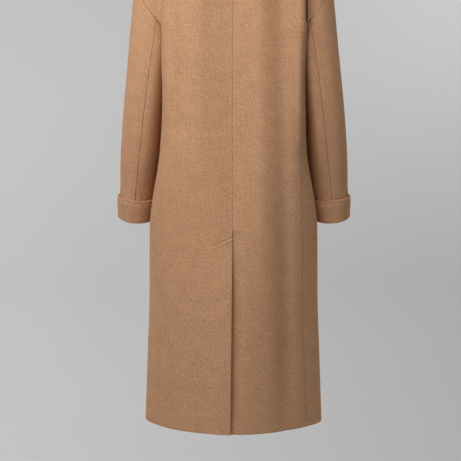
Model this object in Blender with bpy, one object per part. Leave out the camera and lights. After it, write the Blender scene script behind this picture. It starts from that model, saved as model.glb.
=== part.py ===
"""A long wool coat in its worn, hollow form, modelled the way it is cut and sewn.

Units are metres, +Z is up and the coat's front faces -Y, so the wearer's left is +X.
The origin is the middle of the neck opening at the height of the nape, where the wearer's
shoulders hold the coat up. Every cloth piece is a wall of one thickness that follows one form:
a stack of rounded torso sections joined to a stack of oval arm sections.
"""

from collections import namedtuple

import bmesh
import bpy
import numpy as np
from mathutils import Matrix, Vector


class Table:
    """Rows of numbers by named column, read with a monotone cubic that is held at its ends."""

    def __init__(self, columns, rows):
        self.columns = columns
        values = np.array(sorted(rows))
        self.x, self.y = values[:, 0], values[:, 1:]
        self.run = np.diff(self.x)[:, None]
        slope = np.diff(self.y, axis=0) / self.run
        same = slope[:-1] * slope[1:] > 0
        before, after = np.where(same, slope[:-1], 1.0), np.where(same, slope[1:], 1.0)
        first, second = 2 * self.run[1:] + self.run[:-1], self.run[1:] + 2 * self.run[:-1]
        middle = np.where(same, (first + second) / (first / before + second / after), 0.0)
        self.tangent = np.concatenate([slope[:1], middle, slope[-1:]])

    def at(self, x):
        """Every column after the first, at the given values of the first."""
        x = np.clip(x, self.x[0], self.x[-1])
        i = np.clip(np.searchsorted(self.x, x, side="right") - 1, 0, len(self.x) - 2)
        run, low, high = self.run[i], self.y[i], self.y[i + 1]
        t = ((x - self.x[i])[..., None]) / run
        rise = low * (1 + 2 * t) * (1 - t) ** 2 + high * t * t * (3 - 2 * t)
        bend = run * (self.tangent[i] * t * (1 - t) ** 2 - self.tangent[i + 1] * t * t * (1 - t))
        return np.moveaxis(rise + bend, -1, 0)


# Driving sizes
CLOTH = 0.0025  # thickness of the brushed wool
SEAM_GAP = 0.0003  # between two pieces sewn edge to edge
HEM_HEIGHT = -1.217

BACK_SEAM_ACROSS = 0.0026  # the centre back seam sits this far to the wearer's left
VENT_TOP = -0.780
VENT_WIDTH = 0.048  # how far the lower vent layer reaches under the upper one
VENT_SLANT = 0.021  # how much lower the outer end of the lower layer's top is
VENT_LEAN = 0.0040  # the vent's edge leans this much further left at the hem
LAYER_GAP = 0.0012  # air between two layers that overlap
SINK_RUN = 0.034  # width over which an under layer dips below the upper one
SINK_RISE = 0.060  # height over which it comes level with the upper one above the vent

FRONT_OVERLAP = 0.034  # each front passes the centre front by this much
NECK_HALF_WIDTH = 0.080
NECK_BACK = 0.070
NECK_FRONT = 0.098
NECK_SIDE_HEIGHT = 0.003
NECK_FRONT_HEIGHT = -0.072
NECK_DROP = (82.0, 190.0)  # the seam drops to the front between these turns from the centre back
SHOULDER_MIDDLE = (0.12, -0.20)  # across and up: the shoulder seam is fanned out from here

BUTTON_RADIUS = 0.0135
BUTTON_THICKNESS = 0.0042
BUTTON_HEIGHTS = (-0.125, -0.295, -0.465, -0.635)

CUFF_HEIGHT = 0.058  # of the turned-up leg
CUFF_AIR = 0.0014  # between the sleeve and the turned-up leg
CUFF_FLARE = 0.0008  # how much further its top edge stands off
CUFF_FLARE_MIDDLE = 0.2  # share of the flare that is reached half way up
CUFF_CENTRE = -0.7325  # height of the fold on the sleeve's axis
SLEEVE_END = 0.0100  # the sleeve's cut end, above the cuff's fold

SLEEVE_AIR = 0.0065  # between the sleeve and the body beside it
SLEEVE_AIR_RUN = 0.010  # depth below the armhole over which that air opens
CUFF_ROOM = 0.0050  # more air beside the cuff
CUFF_ROOM_DEPTHS = (0.33, 0.36)  # below the armhole, over which it opens
PRESS_BLEND = (0.004, 0.012)  # how softly the body turns into the pressed side: at the armhole, lower
PRESS_BLEND_DEPTHS = (0.01, 0.09)
ARM_BLEND = (0.008, 0.055)  # how softly the torso flows into the arm: at the armhole, at the shoulder
ARM_BLEND_HEIGHTS = (-0.26, -0.08)
ARMHOLE_BLEND = 0.004  # to each side of the armhole
CREASE_DEPTH = 0.012  # of the drape fold behind the arm
CREASE_WIDTH = 0.011
CREASE_FADE = (-0.08, -0.21)  # the fold grows from nothing to whole between these heights

COLLAR_ROLL = 0.0022  # radius inside the collar's roll
COLLAR_AIR = 0.0055  # between the collar's leaf and the body under it
COLLAR_LEAN = 0.10  # how much the stand leans in, for each part of its height
COLLAR_BEND = 0.25  # share of the stand that still follows the shoulder's slope

# Torso sections: half width, depth to the back and to the front, and how square each half is.
TORSO = Table(("height", "half_width", "back", "front", "back_square", "front_square"), (
    (-1.250, 0.2120, 0.172, 0.167, 1.66, 2.00),
    (-1.170, 0.2095, 0.168, 0.164, 1.68, 2.00),
    (-1.050, 0.2056, 0.163, 0.160, 1.75, 2.05),
    (-0.906, 0.2013, 0.157, 0.155, 1.95, 2.15),
    (-0.810, 0.2010, 0.151, 0.152, 2.15, 2.25),
    (-0.750, 0.2000, 0.147, 0.150, 2.35, 2.35),
    (-0.691, 0.1935, 0.143, 0.148, 2.75, 2.40),
    (-0.663, 0.1885, 0.141, 0.147, 3.05, 2.45),
    (-0.625, 0.1812, 0.139, 0.146, 3.45, 2.50),
    (-0.574, 0.1745, 0.136, 0.145, 3.90, 2.60),
    (-0.506, 0.1712, 0.133, 0.144, 4.30, 2.70),
    (-0.390, 0.1710, 0.131, 0.144, 4.80, 2.85),
    (-0.293, 0.1710, 0.130, 0.145, 5.00, 2.90),
    (-0.210, 0.1735, 0.130, 0.141, 4.40, 2.80),
    (-0.170, 0.1790, 0.128, 0.135, 3.50, 2.60),
    (-0.120, 0.1860, 0.119, 0.123, 2.70, 2.35),
    (-0.080, 0.1890, 0.106, 0.109, 2.30, 2.20),
    (-0.055, 0.1830, 0.096, 0.098, 2.15, 2.10),
    (-0.038, 0.1620, 0.089, 0.090, 2.05, 2.05),
    (-0.020, 0.1240, 0.080, 0.080, 2.00, 2.00),
    (0.000, 0.0800, 0.070, 0.070, 2.00, 2.00),
    (0.030, 0.0640, 0.058, 0.062, 2.00, 2.00),
))
EASE = 0.12  # rounds a section's own axes where it is less square than an oval

# Arm sections: oval slices, outer and inner are their reach from the middle of the coat.
ARM = Table(("height", "outer", "inner", "middle", "half_depth"), (
    (-0.800, 0.2880, 0.2020, -0.0640, 0.0590),
    (-0.735, 0.2840, 0.1975, -0.0540, 0.0595),
    (-0.672, 0.2808, 0.1900, -0.0400, 0.0605),
    (-0.606, 0.2765, 0.1800, -0.0250, 0.0635),
    (-0.522, 0.2703, 0.1690, -0.0100, 0.0680),
    (-0.430, 0.2615, 0.1560, 0.0000, 0.0715),
    (-0.354, 0.2534, 0.1450, 0.0030, 0.0740),
    (-0.290, 0.2475, 0.1370, 0.0030, 0.0760),
    (-0.210, 0.2400, 0.1300, 0.0020, 0.0780),
    (-0.170, 0.2345, 0.1320, 0.0010, 0.0770),
    (-0.120, 0.2235, 0.1400, 0.0000, 0.0730),
    (-0.085, 0.2090, 0.1500, 0.0000, 0.0620),
    (-0.062, 0.1930, 0.1600, 0.0000, 0.0460),
    (-0.048, 0.1770, 0.1720, 0.0000, 0.0100),
))
ARM_TOP = -0.048
ARM_END = -0.765
ARM_END_SLOPE = 0.4  # below its end the arm's press on the body fades at this rate

# Sleeve rings: slanted slices of the arm. Each rises outwards, with a bow, and falls backwards.
RINGS = Table(("centre", "outward_rise", "bow", "backward_rise"), (
    (-0.780, 0.10, 0.0, -0.27),
    (-0.7325, 0.10, 0.0, -0.27),
    (-0.680, 0.10, 0.0, -0.26),
    (-0.600, 0.10, 0.0, -0.18),
    (-0.520, 0.12, 0.0, -0.08),
    (-0.440, 0.20, 0.0, -0.02),
    (-0.360, 0.46, 1.0, 0.00),
    (-0.300, 0.86, 4.0, 0.00),
    (-0.261, 1.24, 8.0, 0.00),
))
ARMHOLE_CENTRE = -0.261
RING_SPREAD = 1.15  # rings lie closer together towards the armhole

# Angles round the arm, in degrees: 0 is outermost, 90 the back, 180 next to the torso.
ARMHOLE_BACK = 116.0  # where the side seam meets the armhole
ARMHOLE_FRONT = 244.0  # where the front armhole turns up
SLEEVE_SEAMS = Table(("centre", "back", "front"), (
    (-0.780, 91.0, 224.0),
    (-0.505, 97.0, 224.0),
    (-0.366, 99.0, 223.0),
    (-0.261, 103.1111, 222.6667),
))
SLEEVE_TURN = -0.45  # above this ring the columns move over to meet the body's at the armhole

# Angles round the torso, 0 at its side and 90 at its back, of the side seam and of the line
# below the front armhole.
PANEL_LINES = Table(("height", "side_seam", "front_line"), (
    (-1.217, 23.5, -30.0),
    (-0.900, 27.0, -31.0),
    (-0.600, 31.4, -31.0),
    (-0.380, 32.0, -29.0),
))
PANEL_TURN = -0.42  # above this height the two lines move over to the armhole's two corners
ARMPIT_TURN = -0.50  # above this height the rows between them curve to follow the armhole

# Soft vertical folds. Side is 1 on the back and -1 on the front.
Fold = namedtuple("Fold", "side across_top across_hem half_width depth top bottom")
FOLDS = (
    Fold(1, -0.106, -0.116, 0.026, 0.0050, 0.05, -1.25),
    Fold(1, 0.134, 0.128, 0.017, 0.0026, 0.05, -0.55),
    Fold(1, 0.036, 0.050, 0.030, 0.0020, 0.02, -0.95),
    Fold(-1, 0.098, 0.112, 0.028, 0.0045, -0.20, -1.30),
    Fold(-1, -0.106, -0.120, 0.026, 0.0050, -0.24, -1.30),
)
FOLD_FACING = (0.02, 0.08)  # distance behind or ahead of the middle over which a fold begins
FOLD_LEAN_TOP = -0.20  # from here down to the hem a fold moves across
FOLD_FADES = (0.12, 0.25)  # heights over which a fold fades at its top and at its bottom

# Collar: turned round the neck from the centre back (0 degrees) to the centre front (180).
COLLAR = Table(("turn", "stand", "edge_height", "edge_turn"), (
    (0.0, 0.036, -0.040, 0.0),
    (40.0, 0.035, -0.033, 39.0),
    (60.0, 0.034, -0.027, 58.0),
    (85.0, 0.032, -0.022, 82.0),
    (115.0, 0.027, -0.038, 107.0),
    (150.0, 0.020, -0.095, 138.0),
    (180.0, 0.013, -0.150, 158.0),
))

COLLAR_STAND_STOPS = (0, 0.25, 0.6, 1.0)  # shares of the stand's height that get a row
COLLAR_LEAF_STOPS = (0.25, 0.5, 0.75, 1.0)

# Grid sizes
BACK_COLUMNS = 9
SIDE_COLUMNS = 6
FRONT_COLUMNS = 9
VENT_COLUMNS = 2
SKIRT_ROWS = 7  # from the hem to the top of the vent
BODY_ROWS = 8  # from there to the armhole
UPPER_ROWS = 9  # from there to the shoulder
SHOULDER_COLUMNS = 5
SLEEVE_ROWS = 14
RELAX_STEPS = 80
RAYS = 97  # that measure a curve before points are spaced along it
WELD = 2e-5  # points of two grids closer than this are one

MATERIALS = {
    "wool": ((0.48, 0.29, 0.165, 1.0), 0.92),
    "horn": ((0.16, 0.085, 0.045, 1.0), 0.35),
}


# ---- soft steps


def step(x, start, end):
    """0 before start, 1 after end, smooth between."""
    t = np.clip((x - start) / (end - start), 0, 1)
    return t * t * (3 - 2 * t)


def soft_min(a, b, reach):
    near = np.maximum(reach - np.abs(a - b), 0) / reach
    return np.minimum(a, b) - near * near * reach / 4


# ---- the form that the cloth follows


def folds(p):
    """How far the soft folds dip in."""
    x, y, z = p[..., 0], p[..., 1], p[..., 2]
    dip = np.zeros_like(x)
    lean = step(z, FOLD_LEAN_TOP, HEM_HEIGHT)
    for fold in FOLDS:
        across = fold.across_top + (fold.across_hem - fold.across_top) * lean
        ends = step(z, fold.bottom, fold.bottom + FOLD_FADES[1]) * step(z, fold.top, fold.top - FOLD_FADES[0])
        hollow = np.exp(-(((x - across) / fold.half_width) ** 2))
        dip = dip + fold.depth * step(fold.side * y, *FOLD_FACING) * ends * hollow
    return dip


def eased_power(share, square):
    return (share * share + EASE * EASE) ** (square / 2) - EASE**square


def torso_distance(p):
    """Distance out from the torso's section at each point's height."""
    x, y, z = p[..., 0], p[..., 1], p[..., 2]
    width, back, front, back_square, front_square = TORSO.at(z)
    depth, square = np.where(y >= 0, back, front), np.where(y >= 0, back_square, front_square)
    whole = eased_power(1.0, square)
    share = (eased_power(x / width, square) + eased_power(y / depth, square)) / whole
    radius = np.hypot(x, y)
    return radius - radius / np.maximum(share, 1e-6) ** (1 / square) + folds(p)


def arm_oval(z):
    """Centre across, half width, centre depth and half depth of the arm's slice at a height."""
    outer, inner, middle, half_depth = ARM.at(z)
    return (outer + inner) / 2, (outer - inner) / 2, middle, half_depth


def arm_distance(p):
    """Distance out from the arm's oval slice at each point's height."""
    z = p[..., 2]
    across, half_width, middle, half_depth = arm_oval(z)
    dx, dy = np.abs(p[..., 0]) - across, p[..., 1] - middle
    share = np.hypot(dx / half_width, dy / half_depth)
    radius = np.hypot(dx, dy)
    past_end = np.maximum(z - ARM_TOP, 0) + ARM_END_SLOPE * np.maximum(ARM_END - z, 0)
    return radius - radius / np.maximum(share, 1e-6) + past_end


def above_armhole(p):
    """Height above the slanted surface that the armhole lies in."""
    out = np.abs(p[..., 0]) - arm_oval(ARMHOLE_CENTRE)[0]
    rise, bow, _ = RINGS.at(ARMHOLE_CENTRE)
    return p[..., 2] - ARMHOLE_CENTRE - rise * out - bow * np.maximum(out, 0) ** 2


def joined_form(p):
    """The body above the armholes: torso and arms flow together, with a crease behind each arm."""
    torso, arm = torso_distance(p), arm_distance(p)
    crease = CREASE_DEPTH * np.exp(-(torso**2 + arm**2) / CREASE_WIDTH**2)
    reach = ARM_BLEND[0] + (ARM_BLEND[1] - ARM_BLEND[0]) * step(p[..., 2], *ARM_BLEND_HEIGHTS)
    return soft_min(torso, arm, reach) + crease * step(p[..., 2], *CREASE_FADE)


def pressed_form(p):
    """The body below the armholes: pressed in beside each sleeve, so that the sleeve hangs clear."""
    depth = np.maximum(-above_armhole(p), 0)
    clear = SLEEVE_AIR * (1 - np.exp(-depth / SLEEVE_AIR_RUN))
    clear = clear + CUFF_ROOM * step(depth, *CUFF_ROOM_DEPTHS)
    reach = PRESS_BLEND[0] + (PRESS_BLEND[1] - PRESS_BLEND[0]) * step(depth, *PRESS_BLEND_DEPTHS)
    return -soft_min(-torso_distance(p), arm_distance(p) - clear, reach)


def body_form(p):
    share = step(above_armhole(p), -ARMHOLE_BLEND, ARMHOLE_BLEND)
    return share * joined_form(p) + (1 - share) * pressed_form(p)


MIRROR = np.array([-1.0, 1.0, 1.0])


def sided(form, sign):
    """A form for the wearer's left (1), or for the right (-1) worked out as a left."""
    turn = np.array([sign, 1.0, 1.0])
    return lambda p: form(p * turn)


def gradient(form, p):
    small = 2e-4
    slopes = [form(p + small * axis) - form(p - small * axis) for axis in np.eye(3)]
    return np.stack(slopes, axis=-1) / (2 * small)


def onto(form, p, steps):
    """Moves points along the form's gradient until they lie on it."""
    for _ in range(steps):
        slope = gradient(form, p)
        size = np.maximum((slope**2).sum(-1, keepdims=True), 1e-2)
        p = p - np.clip(slope * form(p)[..., None] / size, -0.01, 0.01)
    return p


def unit(vectors):
    return vectors / np.maximum(np.linalg.norm(vectors, axis=-1, keepdims=True), 1e-12)


def ray_hit(form, origin, rays, far=0.32):
    """Where rays from inside the form leave it, by halving."""
    near_end, far_end = np.zeros(rays.shape[:-1]), np.full(rays.shape[:-1], far)
    for _ in range(32):
        middle = (near_end + far_end) / 2
        inside = form(origin + rays * middle[..., None]) < 0
        near_end = np.where(inside, middle, near_end)
        far_end = np.where(inside, far_end, middle)
    return origin + rays * near_end[..., None]


def along(curve, count):
    """count + 1 points spaced evenly along a polyline."""
    lengths = np.concatenate([[0], np.cumsum(np.linalg.norm(np.diff(curve, axis=0), axis=1))])
    at = np.linspace(0, lengths[-1], count + 1)
    return np.stack([np.interp(at, lengths, curve[:, k]) for k in range(3)], -1)


# ---- curves that bound the pieces, all for the wearer's left


def torso_arc(form, z, start, end, count):
    """Evenly spaced points round the body's section at height z between two angles."""
    angles = np.radians(np.linspace(start, end, RAYS))
    rays = np.stack([np.cos(angles), np.sin(angles), np.zeros_like(angles)], -1)
    return along(ray_hit(form, np.array([0.0, 0.0, z]), rays), count)


def straight_out(form, across, heights, side):
    """Points of the back (side 1) or front (side -1) at a distance across, one for each height."""
    heights = np.atleast_1d(heights)
    origin = np.stack([across + 0 * heights, 0 * heights, heights], -1)
    return ray_hit(form, origin, np.broadcast_to([0.0, float(side), 0.0], origin.shape))


def sleeve_point(centre, angle):
    """A point of the arm on the slanted ring whose centre is at that height."""
    centre, turn = np.broadcast_arrays(np.asarray(centre, float), np.radians(angle))
    rise, bow, fall = RINGS.at(centre)
    across0, _, middle0, _ = arm_oval(centre)
    z = centre.copy()
    for _ in range(40):
        across, half_width, middle, half_depth = arm_oval(z)
        x = across + half_width * np.cos(turn)
        y = middle + half_depth * np.sin(turn)
        target = centre + rise * (x - across0) + bow * np.maximum(x - across0, 0) ** 2
        z = 0.6 * z + 0.4 * (target + fall * (y - middle0))
    return np.stack([x, y, z], -1)


ARMHOLE_UP_BACK = np.linspace(ARMHOLE_BACK, 0, UPPER_ROWS + 1)
ARMHOLE_UP_FRONT = np.linspace(ARMHOLE_FRONT, 360, UPPER_ROWS + 1)
ARMHOLE_UNDER = np.linspace(ARMHOLE_BACK, ARMHOLE_FRONT, SIDE_COLUMNS + 1)
ARMPIT_ROW = sleeve_point(ARMHOLE_CENTRE, ARMHOLE_BACK)[2]
LOWER_HEIGHTS = np.concatenate([
    np.linspace(HEM_HEIGHT, VENT_TOP, SKIRT_ROWS + 1),
    np.linspace(VENT_TOP, ARMPIT_ROW, BODY_ROWS + 1)[1:],
])


def line_angles(z):
    """Angles round the torso of the side seam and of the line below the front armhole."""
    ends = sleeve_point(ARMHOLE_CENTRE, [ARMHOLE_BACK, ARMHOLE_FRONT])
    share = step(z, PANEL_TURN, ARMPIT_ROW)
    return PANEL_LINES.at(z) * (1 - share) + np.degrees(np.arctan2(ends[:, 1], ends[:, 0])) * share


def shoulder_seam(form):
    """From the neck out along the ridge of the shoulder to the armhole."""
    end = sleeve_point(ARMHOLE_CENTRE, 0.0)
    centre = np.array([SHOULDER_MIDDLE[0], end[1], SHOULDER_MIDDLE[1]])
    first = np.pi - np.arctan2(NECK_SIDE_HEIGHT - centre[2], centre[0] - NECK_HALF_WIDTH)
    last = np.arctan2(end[2] - centre[2], end[0] - centre[0])
    angles = np.linspace(first, last, RAYS)
    rays = np.stack([np.cos(angles), 0 * angles, np.sin(angles)], -1)
    seam = along(ray_hit(form, centre, rays), SHOULDER_COLUMNS)
    seam[-1] = end
    return seam


def neck_point(form, turn):
    """A point of the neck seam, by its turn from the centre back, laid onto the form."""
    turn = np.asarray(turn, float)
    ahead = 180 - np.abs(180 - turn)
    drop = step(ahead, *NECK_DROP) / step(180.0, *NECK_DROP)
    side = np.sin(np.radians(np.minimum(ahead, 90.0))) ** 2
    z = NECK_SIDE_HEIGHT * side + (NECK_FRONT_HEIGHT - NECK_SIDE_HEIGHT) * drop
    x = NECK_HALF_WIDTH * np.sin(np.radians(turn))
    y = np.cos(np.radians(turn)) * np.where(ahead < 90, NECK_BACK, NECK_FRONT)
    return onto(form, np.stack([x, y, z], -1), 12)


# ---- grids


def fill(bottom, top, left, right):
    """Blends four boundary curves into a grid of points; rows run from bottom to top."""
    v = np.linspace(0, 1, len(left))[:, None, None]
    u = np.linspace(0, 1, len(bottom))[None, :, None]
    rows = (1 - v) * bottom[None] + v * top[None]
    sides = (1 - u) * left[:, None] + u * right[:, None]
    low = (1 - u) * bottom[0] + u * bottom[-1]
    high = (1 - u) * top[0] + u * top[-1]
    return rows + sides - ((1 - v) * low + v * high)


def relax(form, grid):
    """Evens out a grid's inside on the form, and leaves its four edges where they are."""
    for _ in range(RELAX_STEPS):
        around = grid[:-2, 1:-1] + grid[2:, 1:-1] + grid[1:-1, :-2] + grid[1:-1, 2:]
        grid[1:-1, 1:-1] = onto(form, 0.5 * grid[1:-1, 1:-1] + around / 8, 1)
    grid[1:-1, 1:-1] = onto(form, grid[1:-1, 1:-1], 4)
    return grid


def back_edge(form, sign):
    """Points of the centre back seam and vent edge, from the hem to the nape."""
    upper = np.linspace(ARMPIT_ROW, 0.0, UPPER_ROWS + 1)[1:]
    heights = np.concatenate([LOWER_HEIGHTS, upper])
    lean = VENT_LEAN * np.clip((VENT_TOP - heights) / (VENT_TOP - HEM_HEIGHT), 0, 1)
    return straight_out(form, sign * (BACK_SEAM_ACROSS + lean), heights, 1)


def back_grid(sign):
    """Rows of points from the hem to the shoulder; columns from the side seam to the centre back."""
    form, arc = sided(body_form, sign), sleeve_point(ARMHOLE_CENTRE, ARMHOLE_UP_BACK)
    centre = back_edge(form, sign)
    lower = []
    for z, middle in zip(LOWER_HEIGHTS, centre):
        start = line_angles(z)[0]
        end = np.degrees(np.arctan2(middle[1], middle[0]))
        lower.append(torso_arc(form, z, start, end, BACK_COLUMNS))
    lower = np.array(lower)
    lower[-1, 0] = arc[0]
    seam = shoulder_seam(form)[::-1]
    turns = np.linspace(90.0, 0.0, BACK_COLUMNS - SHOULDER_COLUMNS + 1)[1:]
    top = np.concatenate([seam, neck_point(form, turns)])
    top[-1] = centre[-1]
    upper = relax(form, fill(lower[-1], top, arc, centre[len(lower) - 1:]))
    return np.concatenate([lower, upper[1:]])


def front_grids(sign):
    """The strip below the armhole, and the front from there to its overlapping edge."""
    form = sided(body_form, sign)
    under = sleeve_point(ARMHOLE_CENTRE, ARMHOLE_UNDER)
    arc = sleeve_point(ARMHOLE_CENTRE, ARMHOLE_UP_FRONT)
    strip, lower = [], []
    for z in LOWER_HEIGHTS:
        share = step(z, ARMPIT_TURN, ARMPIT_ROW)
        start, turn = line_angles(z)
        row = torso_arc(form, z, start, turn, SIDE_COLUMNS)
        row[1:-1, 2] += share * (under[1:-1, 2] - ARMPIT_ROW)
        row[1:-1] = onto(form, row[1:-1], 3)
        strip.append(row)
        edge = straight_out(form, -FRONT_OVERLAP, z, -1)[0]
        end = np.degrees(np.arctan2(edge[1], edge[0]))
        lower.append(torso_arc(form, z, turn, end, FRONT_COLUMNS))
    strip, lower = np.array(strip), np.array(lower)
    strip[-1] = under
    lower[-1, 0] = under[-1]
    lower[:, 0] = strip[:, -1]
    seam = shoulder_seam(form)[::-1]
    turns = np.linspace(90.0, 180.0, FRONT_COLUMNS - SHOULDER_COLUMNS)[1:]
    edge_turn = 180.0 + np.degrees(np.arcsin(FRONT_OVERLAP / NECK_HALF_WIDTH))
    top = np.concatenate([seam, neck_point(form, np.append(turns, edge_turn))])
    rise = np.linspace(ARMPIT_ROW, top[-1, 2], UPPER_ROWS + 1)
    edge = straight_out(form, np.linspace(-FRONT_OVERLAP, top[-1, 0], UPPER_ROWS + 1), rise, -1)
    top[-1] = edge[-1]
    upper = relax(form, fill(lower[-1], top, arc, edge))
    return strip, np.concatenate([lower, upper[1:]])


def sink(p, sign):
    """How far the right panels dip where the left ones lie over them, in world coordinates."""
    x, y, z = p[..., 0] * sign, p[..., 1], p[..., 2]
    if sign > 0:
        return 0 * x
    lean = VENT_LEAN * np.clip((VENT_TOP - z) / (VENT_TOP - HEM_HEIGHT), 0, 1)
    edge = BACK_SEAM_ACROSS + lean
    vent = step(x, edge - SINK_RUN, edge) * step(z, VENT_TOP + SINK_RISE, VENT_TOP)
    front = step(x, -FRONT_OVERLAP - SINK_RUN, -FRONT_OVERLAP)
    return (CLOTH + LAYER_GAP) * np.where(y > 0, vent, front)


def vent_grid(form):
    """The lower vent layer, from the vent's edge to its own edge, worked out as a left."""
    rows = []
    for z in LOWER_HEIGHTS[:SKIRT_ROWS + 1]:
        share = (z - HEM_HEIGHT) / (VENT_TOP - HEM_HEIGHT)
        lean = VENT_LEAN * (1 - share)
        across = np.linspace(BACK_SEAM_ACROSS + lean, BACK_SEAM_ACROSS + VENT_WIDTH, VENT_COLUMNS + 1)
        slant = VENT_SLANT * share * np.linspace(0, 1, VENT_COLUMNS + 1)
        rows.append(straight_out(form, -across, z - slant, 1))
    return np.array(rows)


ARMHOLE_ROUND = np.concatenate([
    ARMHOLE_UP_BACK[::-1], ARMHOLE_UNDER[1:], ARMHOLE_UP_FRONT[1:], 360 + ARMHOLE_UP_BACK[::-1][1:],
])
SEAM_STOPS = (
    UPPER_ROWS - 1,
    UPPER_ROWS + SIDE_COLUMNS - 1,
    3 * UPPER_ROWS + SIDE_COLUMNS - 1,
)
SLEEVE_PARTS = {"under": SEAM_STOPS[:2], "upper": SEAM_STOPS[1:]}


def sleeve_angles(centre, part):
    """Angles of a sleeve piece's columns: the body's at the armhole, evenly spread lower down."""
    first, last = SLEEVE_PARTS[part]
    stops = ARMHOLE_ROUND[first:last + 1]
    back, front = SLEEVE_SEAMS.at(centre)
    start, end = (back, front) if part == "under" else (front, back + 360)
    near = step(centre, SLEEVE_TURN, ARMHOLE_CENTRE)
    share = near * (stops - stops[0]) / (stops[-1] - stops[0])
    return start + (end - start) * (share + (1 - near) * np.linspace(0, 1, len(stops)))


def sleeve_grid(part):
    """A sleeve piece's grid for the wearer's left; rows run from the cut end to the armhole."""
    down = (1 - np.linspace(0, 1, SLEEVE_ROWS + 1)) ** RING_SPREAD
    centres = ARMHOLE_CENTRE + (CUFF_CENTRE + SLEEVE_END - ARMHOLE_CENTRE) * down
    return np.array([sleeve_point(centre, sleeve_angles(centre, part)) for centre in centres])


def cuff_profile():
    """Out and up of the turned-up cuff's closed outline, from the sleeve's outer face at the fold."""
    inner, outer = CUFF_AIR / 2, CUFF_AIR / 2 + CLOTH
    turn = np.radians([180, 225, 270, 315, 360])
    under = np.stack([inner + outer * np.cos(turn), outer + outer * np.sin(turn)], -1)
    back = np.stack([inner + inner * np.cos(turn[::-2]), outer + inner * np.sin(turn[::-2])], -1)
    middle, top = (outer + CUFF_HEIGHT) / 2, CUFF_HEIGHT
    low, high = CUFF_AIR + CUFF_FLARE_MIDDLE * CUFF_FLARE, CUFF_AIR + CUFF_FLARE
    leg = [(low + CLOTH, middle), (high + CLOTH, top), (high, top), (low, middle)]
    end = SLEEVE_END - SEAM_GAP
    return np.concatenate([[(-CLOTH, end)], under, leg, back, [(0.0, end)]])


def cuff_grid():
    """Closed ring of stations round the wearer's left wrist, each with the cuff's outline."""
    angles = np.concatenate([sleeve_angles(CUFF_CENTRE, part)[:-1] for part in ("under", "upper")])
    base = sleeve_point(CUFF_CENTRE, angles)
    up = unit(sleeve_point(CUFF_CENTRE + 0.03, angles) - base)
    out = gradient(arm_distance, base)
    out = unit(out - up * (out * up).sum(-1, keepdims=True))
    profile = cuff_profile()
    return base[:, None] + out[:, None] * profile[None, :, :1] + up[:, None] * profile[None, :, 1:]


# ---- the collar


def neck_turns():
    """Turns of the neck seam's points from the centre back to the centre front."""
    back = np.linspace(0.0, 90.0, BACK_COLUMNS - SHOULDER_COLUMNS + 1)
    return np.concatenate([back, np.linspace(90.0, 180.0, FRONT_COLUMNS - SHOULDER_COLUMNS)[1:]])


def collar_half(sign):
    """Stations from the centre back to the centre front, worked out as a left: each is a line
    up the stand's outer face, over the roll and down the leaf's under face."""
    form, turns = sided(joined_form, sign), neck_turns()
    seat = neck_point(form, turns)
    normal = unit(gradient(form, seat))
    seat = seat - normal * sink(seat, sign)[:, None]
    run = np.gradient(seat, axis=0)
    run[-1] = run[-1] * [1, 0, 0]
    run[0] = run[0] * [1, 0, 0]
    rise = unit(np.cross(run, normal))
    rise = rise * np.sign(rise[:, 2:])
    turn = np.radians(turns)
    out = np.stack([np.sin(turn), np.cos(turn), 0 * turn], -1)
    height, edge_height, edge_turn = COLLAR.at(turns)
    low = seat + rise * SEAM_GAP
    top = low + height[:, None] * unit(np.array([0, 0, 1.0]) - COLLAR_LEAN * out)
    bend = low + rise * COLLAR_BEND * height[:, None]
    stand = [low * (1 - t) ** 2 + bend * 2 * t * (1 - t) + top * t * t for t in COLLAR_STAND_STOPS]
    lift = np.array([0, 0, COLLAR_ROLL])
    round_over = np.radians([60, 120, 180])
    roll = [top + out * COLLAR_ROLL * (1 - np.cos(a)) + lift * np.sin(a) for a in round_over]
    aim = np.radians(90 - edge_turn)
    rays = np.stack([np.cos(aim), np.sin(aim), 0 * aim], -1)
    edge = ray_hit(form, np.stack([0 * aim, 0 * aim, edge_height], -1), rays)
    edge = edge + unit(gradient(form, edge)) * COLLAR_AIR
    leaf = []
    for t in COLLAR_LEAF_STOPS:
        p = roll[-1] * (1 - t) + edge * t
        for _ in range(6):
            slope = gradient(form, p)
            short = np.maximum(COLLAR_AIR - form(p) / np.linalg.norm(slope, axis=-1), 0)
            p = p + unit(slope) * short[:, None]
        leaf.append(p)
    return np.stack(stand + roll + leaf, axis=1)


def collar_grid():
    left, right = collar_half(1), collar_half(-1) * MIRROR
    grid = np.concatenate([left[::-1], right[1:]])
    for end, side in ((0, 1), (-1, -1)):
        grid[end, :len(COLLAR_STAND_STOPS), 0] = side * SEAM_GAP
    return grid


# ---- walls and solids


def join(grids):
    """Welds grids of points into one list of points and the quads between them."""
    points, quads, known = [], [], {}
    for grid in grids:
        rows, columns = grid.shape[:2]
        index = np.empty((rows, columns), int)
        for i in range(rows):
            for j in range(columns):
                key = tuple(np.round(grid[i, j] / WELD).astype(int))
                if key not in known:
                    known[key] = len(points)
                    points.append(grid[i, j])
                index[i, j] = known[key]
        for i in range(rows - 1):
            for j in range(columns - 1):
                quads.append((index[i, j], index[i, j + 1], index[i + 1, j + 1], index[i + 1, j]))
    return np.array(points), quads


def facing(points, quads, normals):
    """Turns the quads so that they face along the normals."""
    a, b, c, d = (points[[quad[k] for quad in quads]] for k in range(4))
    turned = (np.cross(c - a, d - b) * normals[[quad[0] for quad in quads]]).sum()
    return quads if turned > 0 else [quad[::-1] for quad in quads]


def rim(quads):
    """Edges that only one quad uses, in that quad's direction."""
    edges = {(quad[k], quad[(k + 1) % 4]) for quad in quads for k in range(4)}
    return [edge for edge in edges if edge[::-1] not in edges]


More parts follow.
